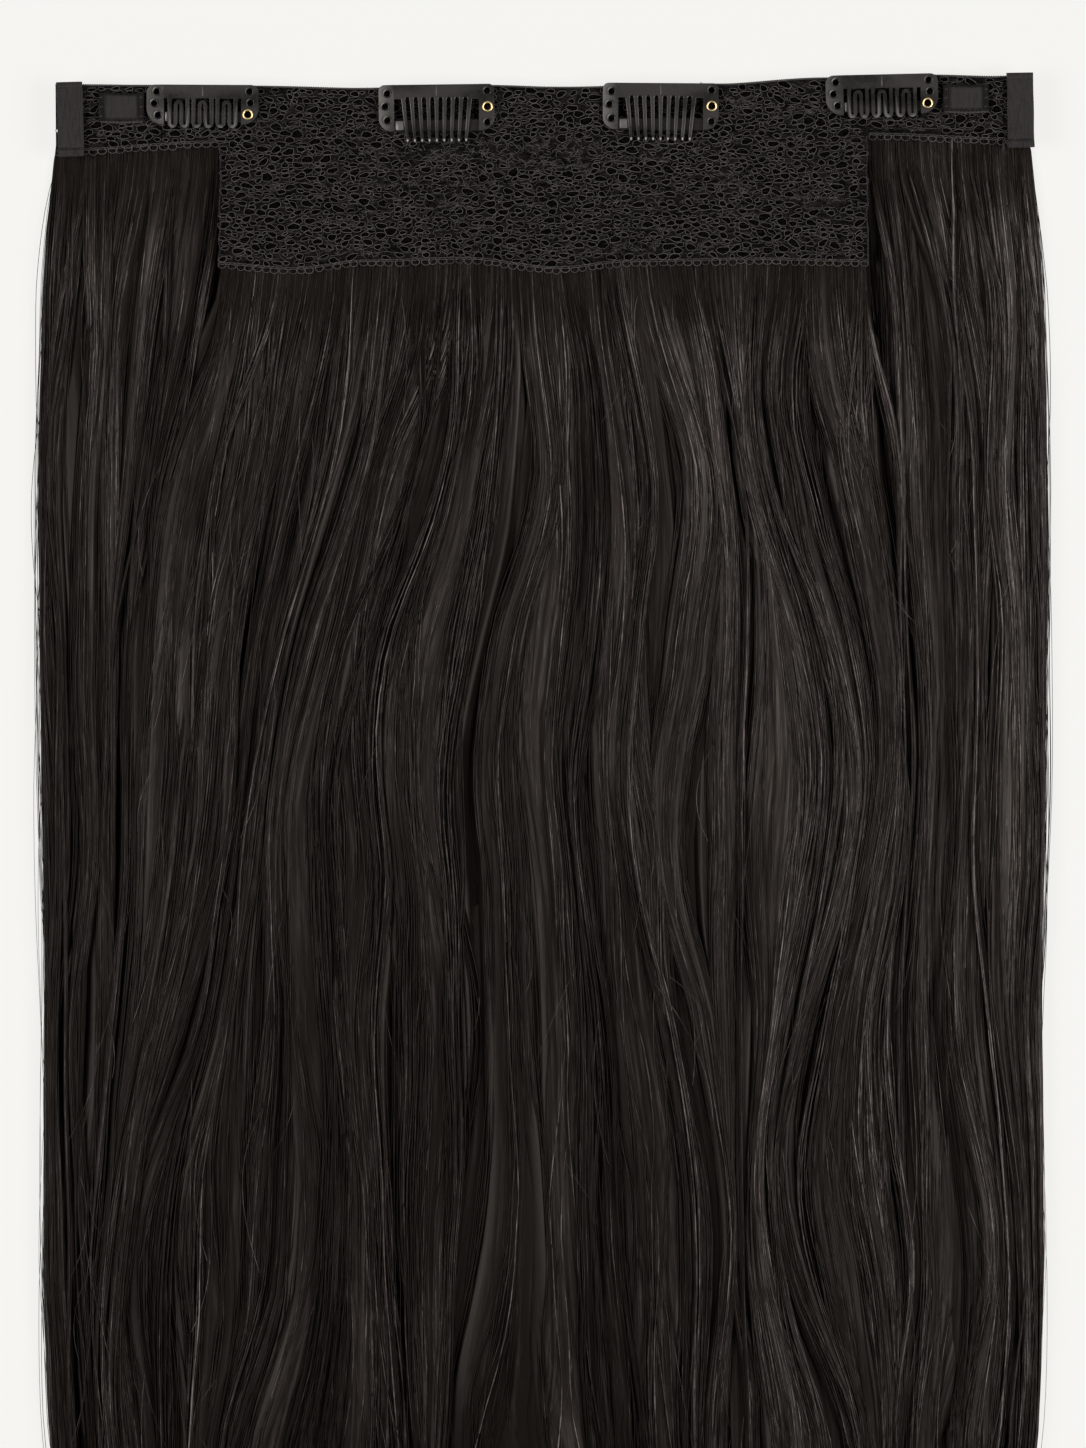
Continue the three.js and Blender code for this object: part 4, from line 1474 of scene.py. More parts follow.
    def rows(self, tubes: Tubes, rims: Array) -> None:
        """Add the wavy yarns that run along the lace, thin where they cross a hole.

        Args:
            tubes: Where they go.
            rims: The holes' rims.
        """
        drift = Drift(71)
        for (left, right), rows in zip(self.areas(), (7, 20, 7)):
            x = np.linspace(left + 0.5, right - 0.5, int((right - left) / 0.95))[None, :].repeat(rows, 0)
            row = np.arange(rows)[:, None]
            top, low = self.cut.top(x), self.cut.lower(np.clip(x, left + 0.5, right - 0.5))
            drop = top + 1.2 + (low - top - 3.4) * (row + 0.4) / rows
            drop = drop + 0.45 * drift.at(x / 2.6 + 7.0, row * 1.7 + 1.3)
            drop = drop + 0.7 * drift.at(x / 17.0, row * 2.3)
            z = self.level(x, drop) - 0.02 + 0.1 * drift.at(x / 1.9, row + 40.0)
            # Painted shade: yarns under the clips are darkened.
            tone = 0.3 + 0.3 * drift.at(x / 9.0, row * 0.9) - 0.6 * self.dim(x, drop)
            thick = np.where(self.open_at(x, drop, rims), 0.012, 0.085)
            tubes.add(laid(x, drop, z), thick, np.clip(tone, 0.0, 1.0))

    def borders(self, tubes: Tubes) -> None:
        """Add the corded edges along the band's top and down the flap's sides.

        Args:
            tubes: Where they go.
        """
        half, flap = self.cut.half_width, self.cut.flap_half_width
        wander = Drift(67)
        x = np.linspace(-half, half, 420)
        for k in range(3):
            turn = 2 * math.pi * (x / 1.9 + k / 3)
            drop = self.cut.top(x) + 0.35 + 0.22 * np.cos(turn)
            z = self.level(x, drop) - 0.05 + 0.2 * np.sin(turn)
            tubes.add(laid(x, drop, z)[None], np.full((1, 420), 0.17), np.full(1, 0.3))
        for side in (-1.0, 1.0):
            top = float(self.cut.lower(np.array(side * (flap + 0.2)))) - 1.0
            end = float(self.cut.lower(np.array(side * (flap - 0.3)))) - 0.6
            drop = np.linspace(top, end, 60)
            for k in range(2):
                turn = 2 * math.pi * (drop / 2.1 + k / 2) + 2.0 * wander.at(drop / 3.0, 5.0)
                x = side * (flap - 0.3) + 0.28 * wander.at(drop / 2.6 + 9.0, side * flap)
                x = x + 0.2 * np.cos(turn)
                inner = np.clip(x, 0.1 - flap, flap - 0.1)
                z = self.level(inner, drop) - 0.05 + 0.16 * np.sin(turn)
                tubes.add(laid(x, drop, z)[None], np.full((1, 60), 0.11), np.full(1, 0.12))

    def scallops(self, tubes: Tubes, rng: Chances) -> None:
        """Add the small hanging rings along the lower edges, and the lines that they hang from.

        Args:
            tubes: Where they go.
            rng: Source of their chances.
        """
        for left, right in self.areas():
            count = round((right - left) / self.scallop)
            centre = left + (np.arange(count) + 0.5) * (right - left) / count + rng.normal(0.0, 0.2, count)
            sweep = 2 * math.pi * np.arange(14)[None, :] / 14
            half = 0.47 * self.scallop * rng.uniform(0.88, 1.1, count)[:, None]
            deep = rng.uniform(0.68, 1.02, count)[:, None]
            x = np.clip(centre[:, None] + half * np.cos(sweep), left + 0.05, right - 0.05)
            edge = self.cut.lower(np.clip(centre, left + 0.5, right - 0.5))[:, None]
            drop = edge - 0.75 + deep * np.sin(sweep) + rng.normal(0.0, 0.1, count)[:, None]
            inner = np.clip(x, left + 0.2, right - 0.2)
            z = self.level(inner, np.minimum(drop, edge)) + 0.02 + 0.12 * np.cos(sweep * 2)
            tone = np.clip(rng.normal(0.44, 0.14, count), 0.0, 1.0)
            tubes.add(laid(x, drop, z), np.full(x.shape, 0.12), tone, closed=True)
            line = np.linspace(left + 0.3, right - 0.3, int((right - left) / 0.8))
            for shift in (1.7, 1.2):
                along = self.cut.lower(np.clip(line, left + 0.5, right - 0.5)) - shift
                along = along + 0.14 * np.sin(2 * math.pi * line / 1.5 + shift)
                z = self.level(line, along) + 0.08 + 0.1 * np.cos(2 * math.pi * line / 1.5)
                place = laid(line, along, z)[None]
                tubes.add(place, np.full((1, len(line)), 0.12), np.full(1, 0.34))

    def build(self) -> None:
        rng = np.random.default_rng(83)
        rims, sizes = self.holes(rng)
        LOG.info("lace holes: %d", len(rims))
        obj, area = self.sheet(rims)
        ground = Piece(obj, Body.HALO, Slot.LACE, self.knit.make()).settle("lace_base")
        yarn = self.yarn.make()
        pieces = [ground, Piece(self.backing(), Body.HALO, Slot.LACE, self.net.make()).settle()]
        for obj in (self.rings(rims, sizes, rng), self.trims(rims, rng)):
            pieces.append(Piece(obj, Body.HALO, Slot.LACE, yarn).settle())


def only(obj: Object) -> None:
    """Select one object and make it active."""
    bpy.ops.object.select_all(action="DESELECT")
    obj.select_set(True)
    bpy.context.view_layer.objects.active = obj


def modify(obj: Object, kind: str, **settings: object) -> None:
    """Add a modifier and apply it.

    Args:
        obj: The object.
        kind: The modifier's type.
        settings: Its settings by name.
    """
    only(obj)
    modifier = obj.modifiers.new(kind.lower(), kind)
    for key, value in settings.items():
        setattr(modifier, key, value)
    bpy.ops.object.modifier_apply(modifier=modifier.name)


def soften(obj: Object, width: float, segments: int, angle: float = 40.0) -> None:
    """Round the sharp edges and smooth the rest.

    Args:
        obj: The object.
        width: Width of the rounding, in millimetres.
        segments: Facets across it.
        angle: Edges sharper than this many degrees are rounded.
    """
    limit = math.radians(angle)
    modify(obj, "BEVEL", width=width * MM, segments=segments, limit_method="ANGLE", angle_limit=limit)
    only(obj)
    bpy.ops.object.shade_smooth_by_angle(angle=math.radians(50.0))


def weigh_rims(obj: Object, share: Callable[[Vector], float]) -> None:
    """Weigh the sharp edges for the rounding.

    Args:
        obj: The object.
        share: Gives the share of the full rounding at a place.
    """
    cells = bmesh.new()
    cells.from_mesh(obj.data)
    weight = cells.edges.layers.float.new("bevel_weight_edge")
    for edge in cells.edges:
        if edge.calc_face_angle(0.0) > math.radians(40.0):
            edge[weight] = share((edge.verts[0].co + edge.verts[1].co) / 2)
    cells.to_mesh(obj.data)
    cells.free()


def split_across(obj: Object, place: Vector, normal: Vector) -> None:
    """Cut new edges into an object's faces where a plane crosses them."""
    cells = bmesh.new()
    cells.from_mesh(obj.data)
    whole = cells.verts[:] + cells.edges[:] + cells.faces[:]
    bmesh.ops.bisect_plane(cells, geom=whole, plane_co=place, plane_no=normal, dist=1e-7)
    cells.to_mesh(obj.data)
    cells.free()


def round_rims(obj: Object, width: float, segments: int) -> None:
    """Round the weighed edges and keep the flats flat.

    Args:
        obj: The object.
        width: Width of the full rounding, in millimetres.
        segments: Facets across it.
    """
    only(obj)
    bpy.ops.object.shade_smooth()
    modify(obj, "BEVEL", width=width * MM, segments=segments, limit_method="WEIGHT")
    for face in obj.data.polygons:
        face.use_smooth = face.area < 0.3 * MM * MM or abs(face.normal.z) < 0.95


def joined(parts: list[Object], name: str) -> Object:
    """Join objects into the first.

    Args:
        parts: The objects.
        name: Name of the whole.

    Returns:
        The joined object.
    """
    only(parts[0])
    for part in parts:
        part.select_set(True)
    bpy.ops.object.join()
    parts[0].name = name
    parts[0].data.name = name
    return parts[0]


def settled_mesh(obj: Object) -> Object:
    """Put an object's place and size into its mesh."""
    only(obj)
    bpy.ops.object.transform_apply(location=True, rotation=True, scale=True)
    return obj


def node_copy(node: Object, name: str) -> Object:
    """Copy a CAD node with its loose triangles merged into whole faces.

    Args:
        node: The node's object.
        name: Name of the copy.

    Returns:
        The copy.
    """
    mesh = node.data.copy()
    mesh.name = name
    mesh.materials.clear()
    obj = linked(name, mesh)
    only(obj)
    bpy.ops.object.mode_set(mode="EDIT")
    bpy.ops.mesh.select_all(action="SELECT")
    bpy.ops.mesh.remove_doubles(threshold=1e-6)
    bpy.ops.mesh.dissolve_limited(angle_limit=math.radians(1.0))
    bpy.ops.object.mode_set(mode="OBJECT")
    return obj


def cloth_strip(name: str, width: float, length: float, cells: tuple[int, int]) -> Object:
    """Add a flat strip to be shaped.

    Args:
        name: The object's name.
        width: Size along x, in millimetres.
        length: Size along y, in millimetres.
        cells: Cells along x and y.

    Returns:
        The strip, in millimetres about its own middle.
    """
    bpy.ops.object.select_all(action="DESELECT")
    bpy.ops.mesh.primitive_grid_add(x_subdivisions=cells[0], y_subdivisions=cells[1], size=1.0)
    strip = bpy.context.object
    strip.name = name
    strip.data.name = name
    strip.scale = (width, length, 1.0)
    return settled_mesh(strip)


def thickened(strip: Object, places: Array, thickness: float) -> Object:
    """Move a strip's vertices to their places and make it thick below them.

    Args:
        strip: The strip.
        places: Where its vertices go, in millimetres.
        thickness: How thick it gets, in millimetres.

    Returns:
        The strip.
    """
    strip.data.vertices.foreach_set("co", (places * MM).astype(np.float32).ravel())
    modify(strip, "SOLIDIFY", thickness=thickness * MM, offset=-1.0)
    return strip


@dataclass
class EndLoop:
    """A ribbon belt loop at one end of the band, folded under and sewn across at both ends."""

    name: str
    x: float
    width: float
    top: float
    length: float
    turn: float
    finish: RibbonFinish
    thread: YarnFinish
    bed: float = 7.5
    ribbon: float = 0.7
    fold: float = 2.2
    seam_top: float = 1.3
    seam_low: float = 2.7

    def placed(self, x: Array, y: Array, z: Array) -> Array:
        """Turn places about the loop's middle into the part's frame."""
        angle = math.radians(self.turn)
        wide = self.x + x * math.cos(angle) - y * math.sin(angle)
        high = BAND_TOP - self.top - self.length / 2 + x * math.sin(angle) + y * math.cos(angle)
        return np.stack([wide, high, z + self.bed], -1)

    def face(self, x: Array, y: Array) -> Array:
        """Height of the ribbon's upper face above the bed."""
        half = self.length / 2
        swell = 1.5 + 0.22 * np.cos(math.pi * y / self.length)
        edge = 0.16 * np.abs(2 * x / self.width) ** 6
        low = 0.34 * np.exp(-(((y + half - self.fold) / 0.22) ** 2))
        seams = np.exp(-(((y + half - self.seam_low) / 0.3) ** 2))
        seams = seams + np.exp(-(((y - half + self.seam_top) / 0.3) ** 2))
        lip = 0.16 * smoothstep(self.fold - half, self.fold - 0.5 - half, y)
        return swell - edge - low - 0.13 * seams + lip

    def tone(self, x: Array, y: Array) -> Array:
        """How much lighter the ribbon is: a paler strip at its right edge, painted shade in the creases at
        its folds.
        """
        half = self.length / 2
        pale_edge = 0.2 * smoothstep(self.width / 2 - 0.75, self.width / 2 - 0.35, x)
        # Painted shade in the crease at the lower fold and at the upper end.
        crease_shade = 0.35 * np.exp(-(((y + half - self.fold) / 0.3) ** 2))
        return pale_edge - crease_shade - 0.1 * smoothstep(half - 0.9, half - 0.3, y)

    def build(self) -> None:
        """Make the ribbon and its stitches."""
        strip = cloth_strip(self.name + "_ribbon", self.width, self.length, (12, 60))
        spots = np.array([v.co for v in strip.data.vertices])
        wander = Drift(len(self.name) + 3)
        side = 0.1 * wander.at(spots[:, 1] / 6.0 + 11.0, np.sign(spots[:, 0]) * 3.0 + 9.0)
        x = spots[:, 0] + side * np.abs(2 * spots[:, 0] / self.width) ** 4
        places = self.placed(x, spots[:, 1], self.face(spots[:, 0], spots[:, 1]))
        mark(strip, "tone", self.tone(spots[:, 0], spots[:, 1]))
        parts = [thickened(strip, places, self.ribbon)]
        for y in (-self.length / 2 + 1.65, self.length / 2 - 1.65):
            fold = cloth_strip(self.name + "_fold", self.width - 0.2, 3.2, (4, 6))
            spots = np.array([v.co for v in fold.data.vertices])
            places = self.placed(spots[:, 0], spots[:, 1] + y, np.full(len(spots), 0.78))
            parts.append(thickened(fold, places, 0.75))
        whole = joined(parts, self.name + "_ribbon")
        soften(whole, 0.14, 2, 60.0)
        Piece(whole, Body.HALO, Slot.RIBBON, self.finish.make()).settle(self.name)
        self.stitches()

    def stitches(self) -> None:
        """Sew the two rows of short stitches."""
        tubes = Tubes(sides=5)
        across = np.linspace(-self.width / 2 + 0.9, self.width / 2 - 0.9, 6)
        along = np.linspace(-1.0, 1.0, 5)[None, :]
        for y in (self.length / 2 - self.seam_top, self.seam_low - self.length / 2):
            x = across[:, None] + 0.42 * along
            level = np.full_like(x, y)
            z = self.face(x, level) + 0.14 * (1 - along**2) - 0.02
            tubes.add(self.placed(x, level, z), np.full(x.shape, 0.13), np.full(len(across), 0.12))
        obj = tubes.build(self.name + "_stitches")
        Piece(obj, Body.HALO, Slot.RIBBON, self.thread.make()).settle()


@dataclass
class WireTab:
    """A small woven tab for the halo's wire: a brushed middle in a hemmed border."""

    name: str
    x: float
    length: float
    top: float
    width: float
    finish: RibbonFinish
    thread: YarnFinish
    bed: float = 7.5
    cloth: float = 0.7
    border: float = 1.75

    def placed(self, x: Array, y: Array, z: Array) -> Array:
        """Turn places about the tab's middle into the part's frame."""
        return np.stack([self.x + x, BAND_TOP - self.top - self.width / 2 + y, z + self.bed], -1)

    def face(self, x: Array, y: Array) -> Array:
        """Height of the tab's upper face above the bed."""
        in_x = self.length / 2 - np.abs(x)
        in_y = self.width / 2 - np.abs(y)
        raised = smoothstep(self.border - 0.35, self.border + 0.25, in_x) * smoothstep(0.35, 0.95, in_y)
        groove = 0.22 * np.exp(-(((in_x - self.border) / 0.22) ** 2))
        return 1.12 + 0.4 * raised - groove

    def tone(self, x: Array, y: Array) -> Array:
        """How much lighter the cloth is: pale down its brushed middle, dark in the border."""
        in_x = self.length / 2 - np.abs(x)
        in_y = self.width / 2 - np.abs(y)
        middle = smoothstep(self.border - 0.2, self.border + 0.4, in_x) * smoothstep(0.4, 0.9, in_y)
        streak = 0.1 * Drift(91).at(x / 0.7 + 20.0, y / 5.0 + 4.0)
        hem = 0.1 * smoothstep(0.5, 0.2, y + self.width / 2)
        return middle * (0.02 + 0.08 * np.exp(-((x / 2.2) ** 2)) + streak) - 0.56 * (1.0 - middle) + hem

    def build(self) -> None:
        """Make the tab, its hem and its stitches."""
        strip = cloth_strip(self.name + "_cloth", self.length, self.width, (34, 24))
        spots = np.array([v.co for v in strip.data.vertices])
        wander = Drift(len(self.name) + 29)
        share = np.abs(2 * spots[:, 1] / self.width) ** 4
        sag = (0.25 * wander.at(spots[:, 0] / 4.0 + 5.0, np.sign(spots[:, 1]) + 7.0) - 0.12) * share
        places = self.placed(spots[:, 0], spots[:, 1] + sag, self.face(spots[:, 0], spots[:, 1]))
        mark(strip, "tone", self.tone(spots[:, 0], spots[:, 1]))
        parts = [thickened(strip, places, self.cloth)]
        for side in (-1.0, 1.0):
            fold = cloth_strip(self.name + "_fold", self.border, self.width - 0.3, (3, 6))
            spots = np.array([v.co for v in fold.data.vertices])
            x = spots[:, 0] + side * (self.length - self.border) / 2
            places = self.placed(x, spots[:, 1], np.full(len(spots), 0.45))
            parts.append(thickened(fold, places, 0.43))
        whole = joined(parts, self.name + "_cloth")
        soften(whole, 0.12, 2, 60.0)
        Piece(whole, Body.HALO, Slot.RIBBON, self.finish.make()).settle(self.name)
        self.sewing()

    def sewing(self) -> None:
        """Sew the tab down at its sides and cord its lower hem."""
        tubes = Tubes(sides=5)
        along = np.linspace(-1.0, 1.0, 5)[None, :]
        rows = np.linspace(-self.width / 2 + 1.2, self.width / 2 - 1.2, 3)
        for side in (-1.0, 1.0):
            y = rows[:, None] + 0.1 * along
            x = side * (self.length / 2 - 0.75) + 0.42 * along + 0.0 * rows[:, None]
            z = self.face(x, y) + 0.16 * (1 - along**2)
            tubes.add(self.placed(x, y, z), np.full(x.shape, 0.16), np.full(3, 0.1))
        x = np.linspace(-self.length / 2 + 0.3, self.length / 2 - 0.3, 40)
        for k in range(2):
            turn = 2 * math.pi * (x / 2.2 + k / 2)
            bow = 0.35 * (1 - (2 * x / self.length) ** 2)
            y = -self.width / 2 - 0.15 - bow + 0.14 * np.cos(turn)
            z = 0.75 + 0.14 * np.sin(turn)
            tubes.add(self.placed(x, y, z)[None], np.full((1, 40), 0.24), np.full(1, 0.12))
        obj = tubes.build(self.name + "_sewing")
        Piece(obj, Body.HALO, Slot.RIBBON, self.thread.make()).settle()


@dataclass
class SnapClip:
    """A snap clip: two end plates on a lower bar, a spine with teeth that swings, and a brass eyelet."""

    name: str
    teeth: Teeth
    x: float
    top: float
    tilt: float
    body: Body
    lacquer: Material
    brass: Material
    nodes: dict[str, Object]
    bed: float = 7.5
    plate: float = 1.4
    flush: float = 0.1
    neck: float = 0.3

    @property
    def straight(self) -> bool:
        """Whether the teeth are straight."""
        return self.teeth is Teeth.STRAIGHT

    def holes(self) -> list[Pair]:
        """Middles of the sewing holes."""
        if self.straight:
            return [(-13.8, -2.4), (-14.4, -6.0), (-13.8, -9.9), (14.2, -1.9), (14.2, -10.7)]
        return [(-12.9, -1.9), (-13.6, -5.2), (-12.5, -8.5), (13.1, -1.8), (13.4, -5.0)]

    def eyelet_place(self) -> Pair:
        """Middle of the eyelet."""
        return (14.3, -6.4) if self.straight else (12.7, -8.3)

    def half_spine(self) -> float:
        """Half the length of the CAD spine."""
        return (32.4 / 2 - 4.3 if self.straight else 31.4 / 2 - 4.9) - self.neck

    def spine(self) -> float:
        """How deep the CAD spine is."""
        return 4.2 if self.straight else 3.85

    def placed(self, x: float, y: float, z: float) -> Vector:
        """Turn a place on the clip into the part's frame, in metres."""
        angle = math.radians(self.tilt)
        wide = self.x + x * math.cos(angle) - y * math.sin(angle)
        high = BAND_TOP - self.top + x * math.sin(angle) + y * math.cos(angle)
        return Vector((wide, high, self.bed + z)) * MM

    def local(self, spot: Vector) -> Triple:
        """Turn a place in metres into millimetres on the clip."""
        angle = math.radians(self.tilt)
        dx, dy = spot.x / MM - self.x, spot.y / MM - BAND_TOP + self.top
        x = dx * math.cos(angle) + dy * math.sin(angle)
        return x, dy * math.cos(angle) - dx * math.sin(angle), spot.z / MM - self.bed

    def rim_share(self, spot: Vector) -> float:
        """Share of the full rounding: little where plates and spine meet flush."""
        x, y, _ = self.local(spot)
        meets = abs(abs(x) - self.half_spine() - self.neck / 2) < 0.35
        if meets and y > -self.spine() - 0.1:
            return 0.12
        return 0.4 if meets and x > 0.0 else 1.0

    def plates(self) -> Object:
        """Make the end plates and the lower bar, with raised lips round the holes.

        Returns:
            The object.
        """
        plates = node_copy(self.nodes[self.name + "_frame"], self.name + "_plates")
        for vertex in plates.data.vertices:
            x, y, z = self.local(vertex.co)
            if z > self.plate - 0.05:
                bent = (0.15 if self.straight else 0.1) * max(0.0, -x - self.half_spine() - self.neck)
                vertex.co = self.placed(x, y, self.plate + self.flush - bent)
            elif z > 0.5 and not self.straight:
                vertex.co = self.placed(x, y, 0.2)
        level = self.placed(0.0, -self.spine() - 0.1, 0.0)
        split_across(plates, level, self.placed(0.0, 0.0, 0.0) - level)
        weigh_rims(plates, self.rim_share)
        round_rims(plates, 0.3, 3)
        spots = np.array([self.local(v.co) for v in plates.data.vertices])
        out = -spots[:, 0] - self.half_spine() - self.neck
        # Painted shade on the bar and on the walls below the plates' tops.
        mark(plates, "dim", 0.85 * (spots[:, 2] < self.plate - 0.05))
        # Painted highlight growing towards the left plate's outer edge.
        mark(plates, "painted_highlight", (0.32 if self.straight else 0.16) * np.clip(out / 4.4, 0.0, 1.0))
        parts = [plates]
        for x, y in self.holes():
            middle = self.placed(x, y, self.plate + self.flush)
            bpy.ops.mesh.primitive_torus_add(
                major_segments=26, minor_segments=8, major_radius=1.04 * MM, minor_radius=0.2 * MM,
                location=middle,
            )
            bpy.ops.object.shade_smooth()
            lip = settled_mesh(bpy.context.object)
            around = np.array([(v.co - middle)[:2] for v in lip.data.vertices])
            # Painted highlight: a crescent on each lip's upper-left side, brighter on the left plate.
            lit = (around[:, 1] - around[:, 0]) / (1.414 * np.linalg.norm(around, axis=1))
            mark(lip, "painted_highlight", (0.5 if x < 0.0 else 0.2) * np.clip(lit, 0.0, 1.0) ** 3)
            parts.append(lip)
        parts.append(self.latch())
        return joined(parts, self.name + "_plates")

    def latch(self) -> Object:
        """Make the bent tongue where the bar meets the left end plate.

        Returns:
            The object.
        """
        left, right, middle = (-11.5, -9.3, -11.4) if self.straight else (-10.5, -9.75, -8.9)
        place = self.placed((left + right) / 2, middle, 0.86)
        tongue = self.block(place, Vector((right - left, 2.5, 0.5)), (4.0, -6.0), 0.07)
        # Painted highlight over the whole tongue.
        mark(tongue, "painted_highlight", np.full(len(tongue.data.vertices), 0.2))
        return tongue

    def block(self, place: Vector, size: Vector, lean: Pair, rounding: float) -> Object:
        """Make a small block that is turned with the clip.

        Args:
            place: Its middle, in metres.
            size: Its size, in millimetres.
            lean: How it leans about x and y, in degrees.
            rounding: Width of its rounded edges, in millimetres.

        Returns:
            The object.
        """
        bpy.ops.object.select_all(action="DESELECT")
        bpy.ops.mesh.primitive_cube_add(size=1.0, location=place)
        made = bpy.context.object
        made.scale = size * MM
        made.rotation_euler = [math.radians(angle) for angle in (*lean, self.tilt)]
        settled_mesh(made)
        soften(made, rounding, 2)
        return made

    def comb(self) -> Object:
        """Make the spine and its teeth.

        Returns:
            The object.
        """
        comb = node_copy(self.nodes[self.name + "_comb"], self.name + "_teeth")
        reach = self.half_spine() - 0.02
        for vertex in comb.data.vertices:
            x, y, z = self.local(vertex.co)
            if abs(x) > reach:
                vertex.co = self.placed(x + math.copysign(self.neck - 0.015, x), y, z)
        weigh_rims(comb, self.rim_share)
        round_rims(comb, 0.2, 3)
        low = np.array([self.local(v.co)[1] for v in comb.data.vertices])
        # Painted highlight at the feet of the looped teeth.
        mark(comb, "painted_highlight", 0.3 * smoothstep(-11.5, -12.0, low) * (not self.straight))
        parts = [comb, self.seam()]
        if self.straight:
            parts.extend(self.beads())
        return joined(parts, self.name + "_teeth")

    def seam(self) -> Object:
        """Make the upset line where the two halves of the spine meet.

        Returns:
            The object.
        """
        deep = 3.0
        place = self.placed(0.0, -0.25 - deep / 2, 1.5)
        ridge = self.block(place, Vector((0.34, deep, 0.24)), (0.0, 0.0), 0.06)
        # Painted highlight along the ridge.
        mark(ridge, "painted_highlight", np.full(len(ridge.data.vertices), 0.12))
        return ridge

    def beads(self) -> list[Object]:
        """Make the rounded ends of the straight teeth, with painted highlights.

        Returns:
            The objects.
        """
        made = []
        for k in range(9):
            place = self.placed(-8.2 + 16.4 * k / 8, -15.55, 1.2)
            bpy.ops.mesh.primitive_uv_sphere_add(segments=14, ring_count=8, radius=0.42 * MM, location=place)
            bpy.context.object.scale = (0.85, 1.3, 1.0)
            bpy.ops.object.shade_smooth()
            bead = settled_mesh(bpy.context.object)
            # Painted highlight on each bead.
            mark(bead, "painted_highlight", np.full(len(bead.data.vertices), 0.7))
            made.append(bead)
        return made

    def eyelet(self) -> Object:
        """Make the brass eyelet: a rolled flange on a thin barrel.

        Returns:
            The object.
        """
        x, y = self.eyelet_place()
        bpy.ops.object.select_all(action="DESELECT")
        bpy.ops.mesh.primitive_torus_add(
            major_segments=44, minor_segments=14, major_radius=1.24 * MM, minor_radius=0.3 * MM,
            location=self.placed(x, y, self.plate + self.flush + 0.32),
        )
        bpy.ops.object.shade_smooth()
        flange = settled_mesh(bpy.context.object)
        bpy.ops.mesh.primitive_cylinder_add(
            vertices=44, radius=1.2 * MM, depth=1.6 * MM, end_fill_type="NOTHING",
            location=self.placed(x, y, 1.0),
        )
        barrel = settled_mesh(bpy.context.object)
        modify(barrel, "SOLIDIFY", thickness=0.14 * MM, offset=-1.0)
        bpy.ops.object.shade_smooth_by_angle(angle=math.radians(40.0))
        return joined([flange, barrel], self.name + "_ring")

    def build(self) -> None:
        """Make the clip's three pieces."""
        plates, comb = self.plates(), self.comb()
        Piece(plates, Body.HALO, Slot.LACQUER, self.lacquer).settle(self.name + "_frame")
        Piece(comb, self.body, Slot.LACQUER, self.lacquer).settle(self.name + "_comb")
        Piece(self.eyelet(), Body.HALO, Slot.BRASS, self.brass).settle(self.name + "_eyelet")


@dataclass
class Fittings:
    """The loops, tabs and clips on the band."""

    nodes: dict[str, Object]

    def build(self) -> None:
        """Make every fitting."""
        ribbon, thread = RibbonFinish("ribbon"), YarnFinish("sewing_thread")
        brushed = RibbonFinish("brushed_tab", warp=(3600.0, 170.0, 900.0), weft=(900.0, 500.0, 900.0))
        for loop in (
            EndLoop("end_loop_left", -132.5, 7.3, 2.6, 20.8, 1.5, ribbon, thread),
            EndLoop("end_loop_right", 133.6, 7.5, 0.0, 20.9, 1.0, ribbon, thread),
        ):
            loop.build()
        for tab in (
            WireTab("wire_tab_left", -118.2, 12.6, 5.7, 7.7, brushed, thread),
            WireTab("wire_tab_right", 118.4, 12.6, 3.4, 7.2, brushed, thread),
        ):
            tab.build()
        lacquer, brass = LacquerFinish("black_lacquer").make(), BrassFinish("polished_brass").make()
        for name, teeth, x, top, tilt, body in (
            ("clip_1", Teeth.LOOPED, -95.4, 3.4, -0.3, Body.COMB_1),
            ("clip_2", Teeth.STRAIGHT, -30.0, 3.3, 0.7, Body.COMB_2),
            ("clip_3", Teeth.STRAIGHT, 32.9, 2.9, -0.4, Body.COMB_3),
            ("clip_4", Teeth.LOOPED, 94.7, 0.5, 1.3, Body.COMB_4),
        ):
            SnapClip(name, teeth, x, top, tilt, body, lacquer, brass, self.nodes).build()


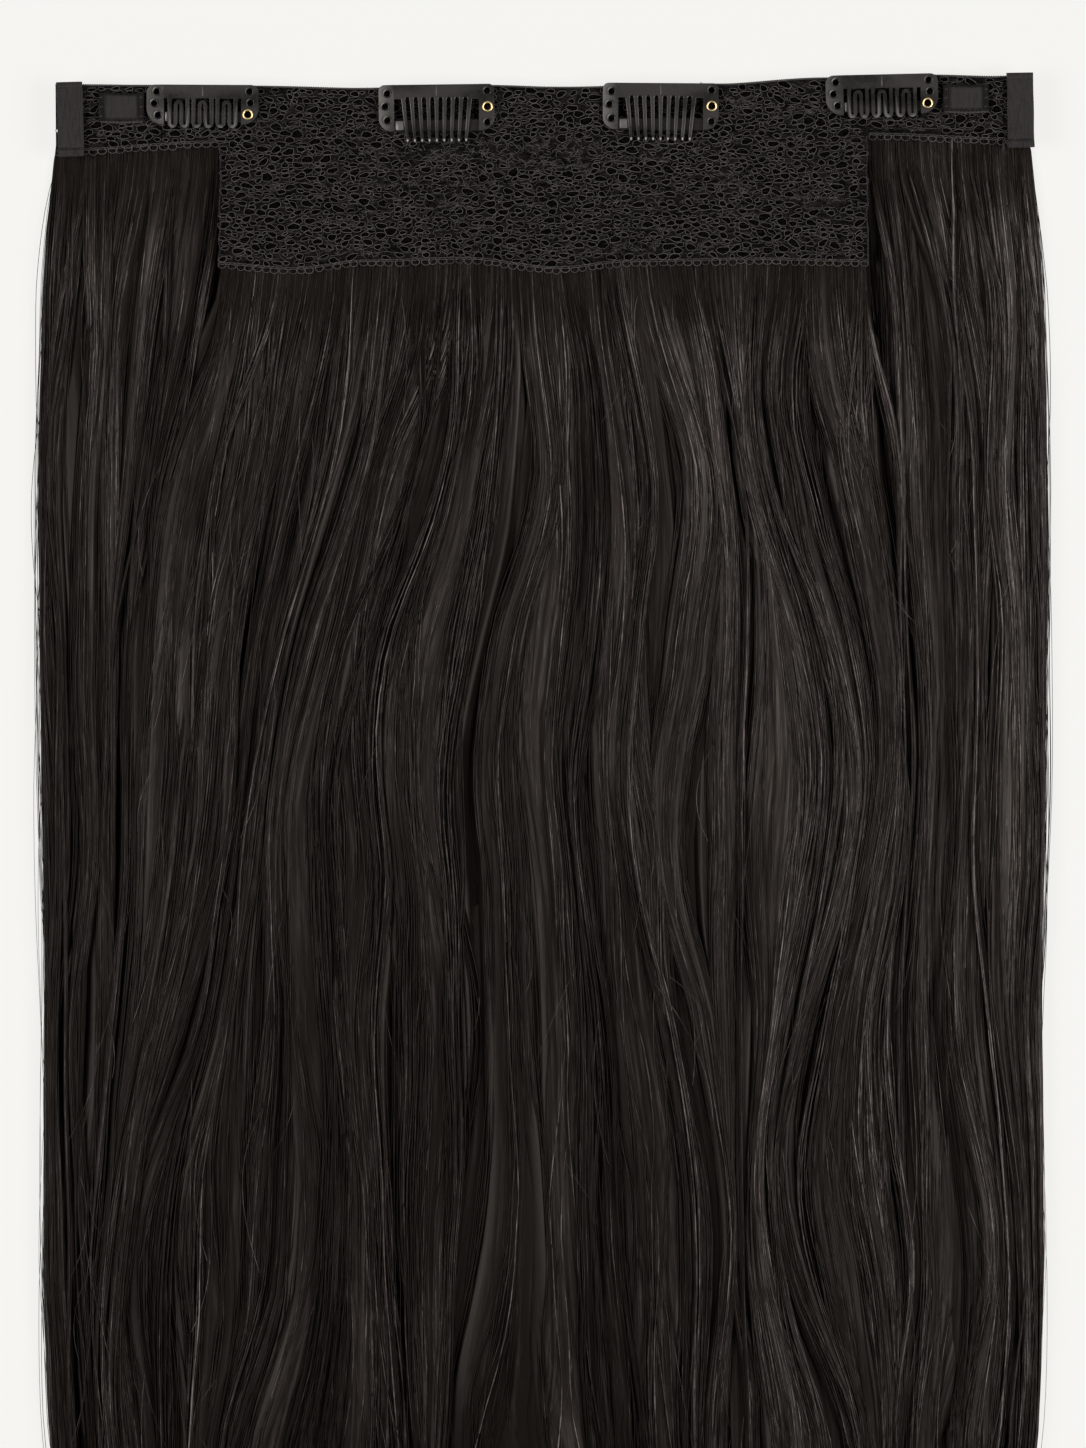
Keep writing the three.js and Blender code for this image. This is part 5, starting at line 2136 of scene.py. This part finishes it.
@dataclass
class Studio:
    """Ground, soft light and the camera straight above."""

    frame_height: float = 405.4
    centre: Pair = (-0.1, 46.1)
    camera_height: float = 1500.0
    focus_height: float = 9.0
    aim: Triple = (0.0, 0.05, 0.0)

    def ground(self) -> None:
        """Lay the pale ground."""
        bpy.ops.object.select_all(action="DESELECT")
        bpy.ops.mesh.primitive_plane_add(size=6.0, location=(0.0, 0.0, -0.0002))
        floor = bpy.context.object
        floor.name = "ground"
        bpy.ops.object.transform_apply(location=True, rotation=True, scale=True)
        floor.data.materials.append(GroundFinish("pale_ground").make())

    def light(self, name: str, place: Triple, size: Pair, power: float) -> None:
        """Hang a soft light.

        Args:
            name: The light's name.
            place: Where it hangs, in metres.
            size: Width and length, in metres.
            power: Watts.
        """
        data = bpy.data.lights.new(name, "AREA")
        data.shape = "RECTANGLE"
        data.size, data.size_y = size
        data.energy = power
        lamp = linked(name, data)
        lamp.location = place
        lamp.rotation_euler = (Vector(self.aim) - Vector(place)).to_track_quat("-Z", "Y").to_euler()

    def lights(self) -> None:
        """Hang the lights and set the room's own glow."""
        world = bpy.data.worlds.new("room")
        world.use_nodes = True
        glow = world.node_tree.nodes["Background"]
        glow.inputs["Color"].default_value = (1.0, 0.995, 0.985, 1.0)
        glow.inputs["Strength"].default_value = 0.06
        bpy.context.scene.world = world
        self.light("soft_left", (-1.15, 0.0, 1.3), (0.8, 0.8), 26.0)
        self.light("soft_right", (1.15, -0.1, 1.3), (0.8, 0.8), 27.0)
        self.light("soft_over", (0.0, 0.2, 2.1), (1.0, 0.5), 2.5)
        view = bpy.context.scene.view_settings
        view.view_transform = "Standard"
        view.look = "None"
        view.exposure = 0.0

    def camera(self) -> None:
        """Set the camera."""
        data = bpy.data.cameras.new("camera")
        data.sensor_fit = "VERTICAL"
        data.sensor_height = 36.0
        data.lens = 36.0 * (self.camera_height - self.focus_height) / self.frame_height
        data.clip_end = 50.0
        camera = linked("camera", data)
        camera.location = (self.centre[0] * MM, self.centre[1] * MM, self.camera_height * MM)
        bpy.context.scene.camera = camera

    def build(self) -> None:
        """Set up the whole studio."""
        self.ground()
        self.lights()
        self.camera()


def main() -> None:
    """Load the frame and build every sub-assembly in order."""
    logging.basicConfig(level=logging.INFO, format="%(name)s %(message)s")
    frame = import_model()
    Studio().build()
    cut = Cut()
    Hair(cut).build()
    Lace(cut).build()
    Fittings(frame["nodes"]).build()
    bpy.context.view_layer.update()


if __name__ == "__main__":
    main()
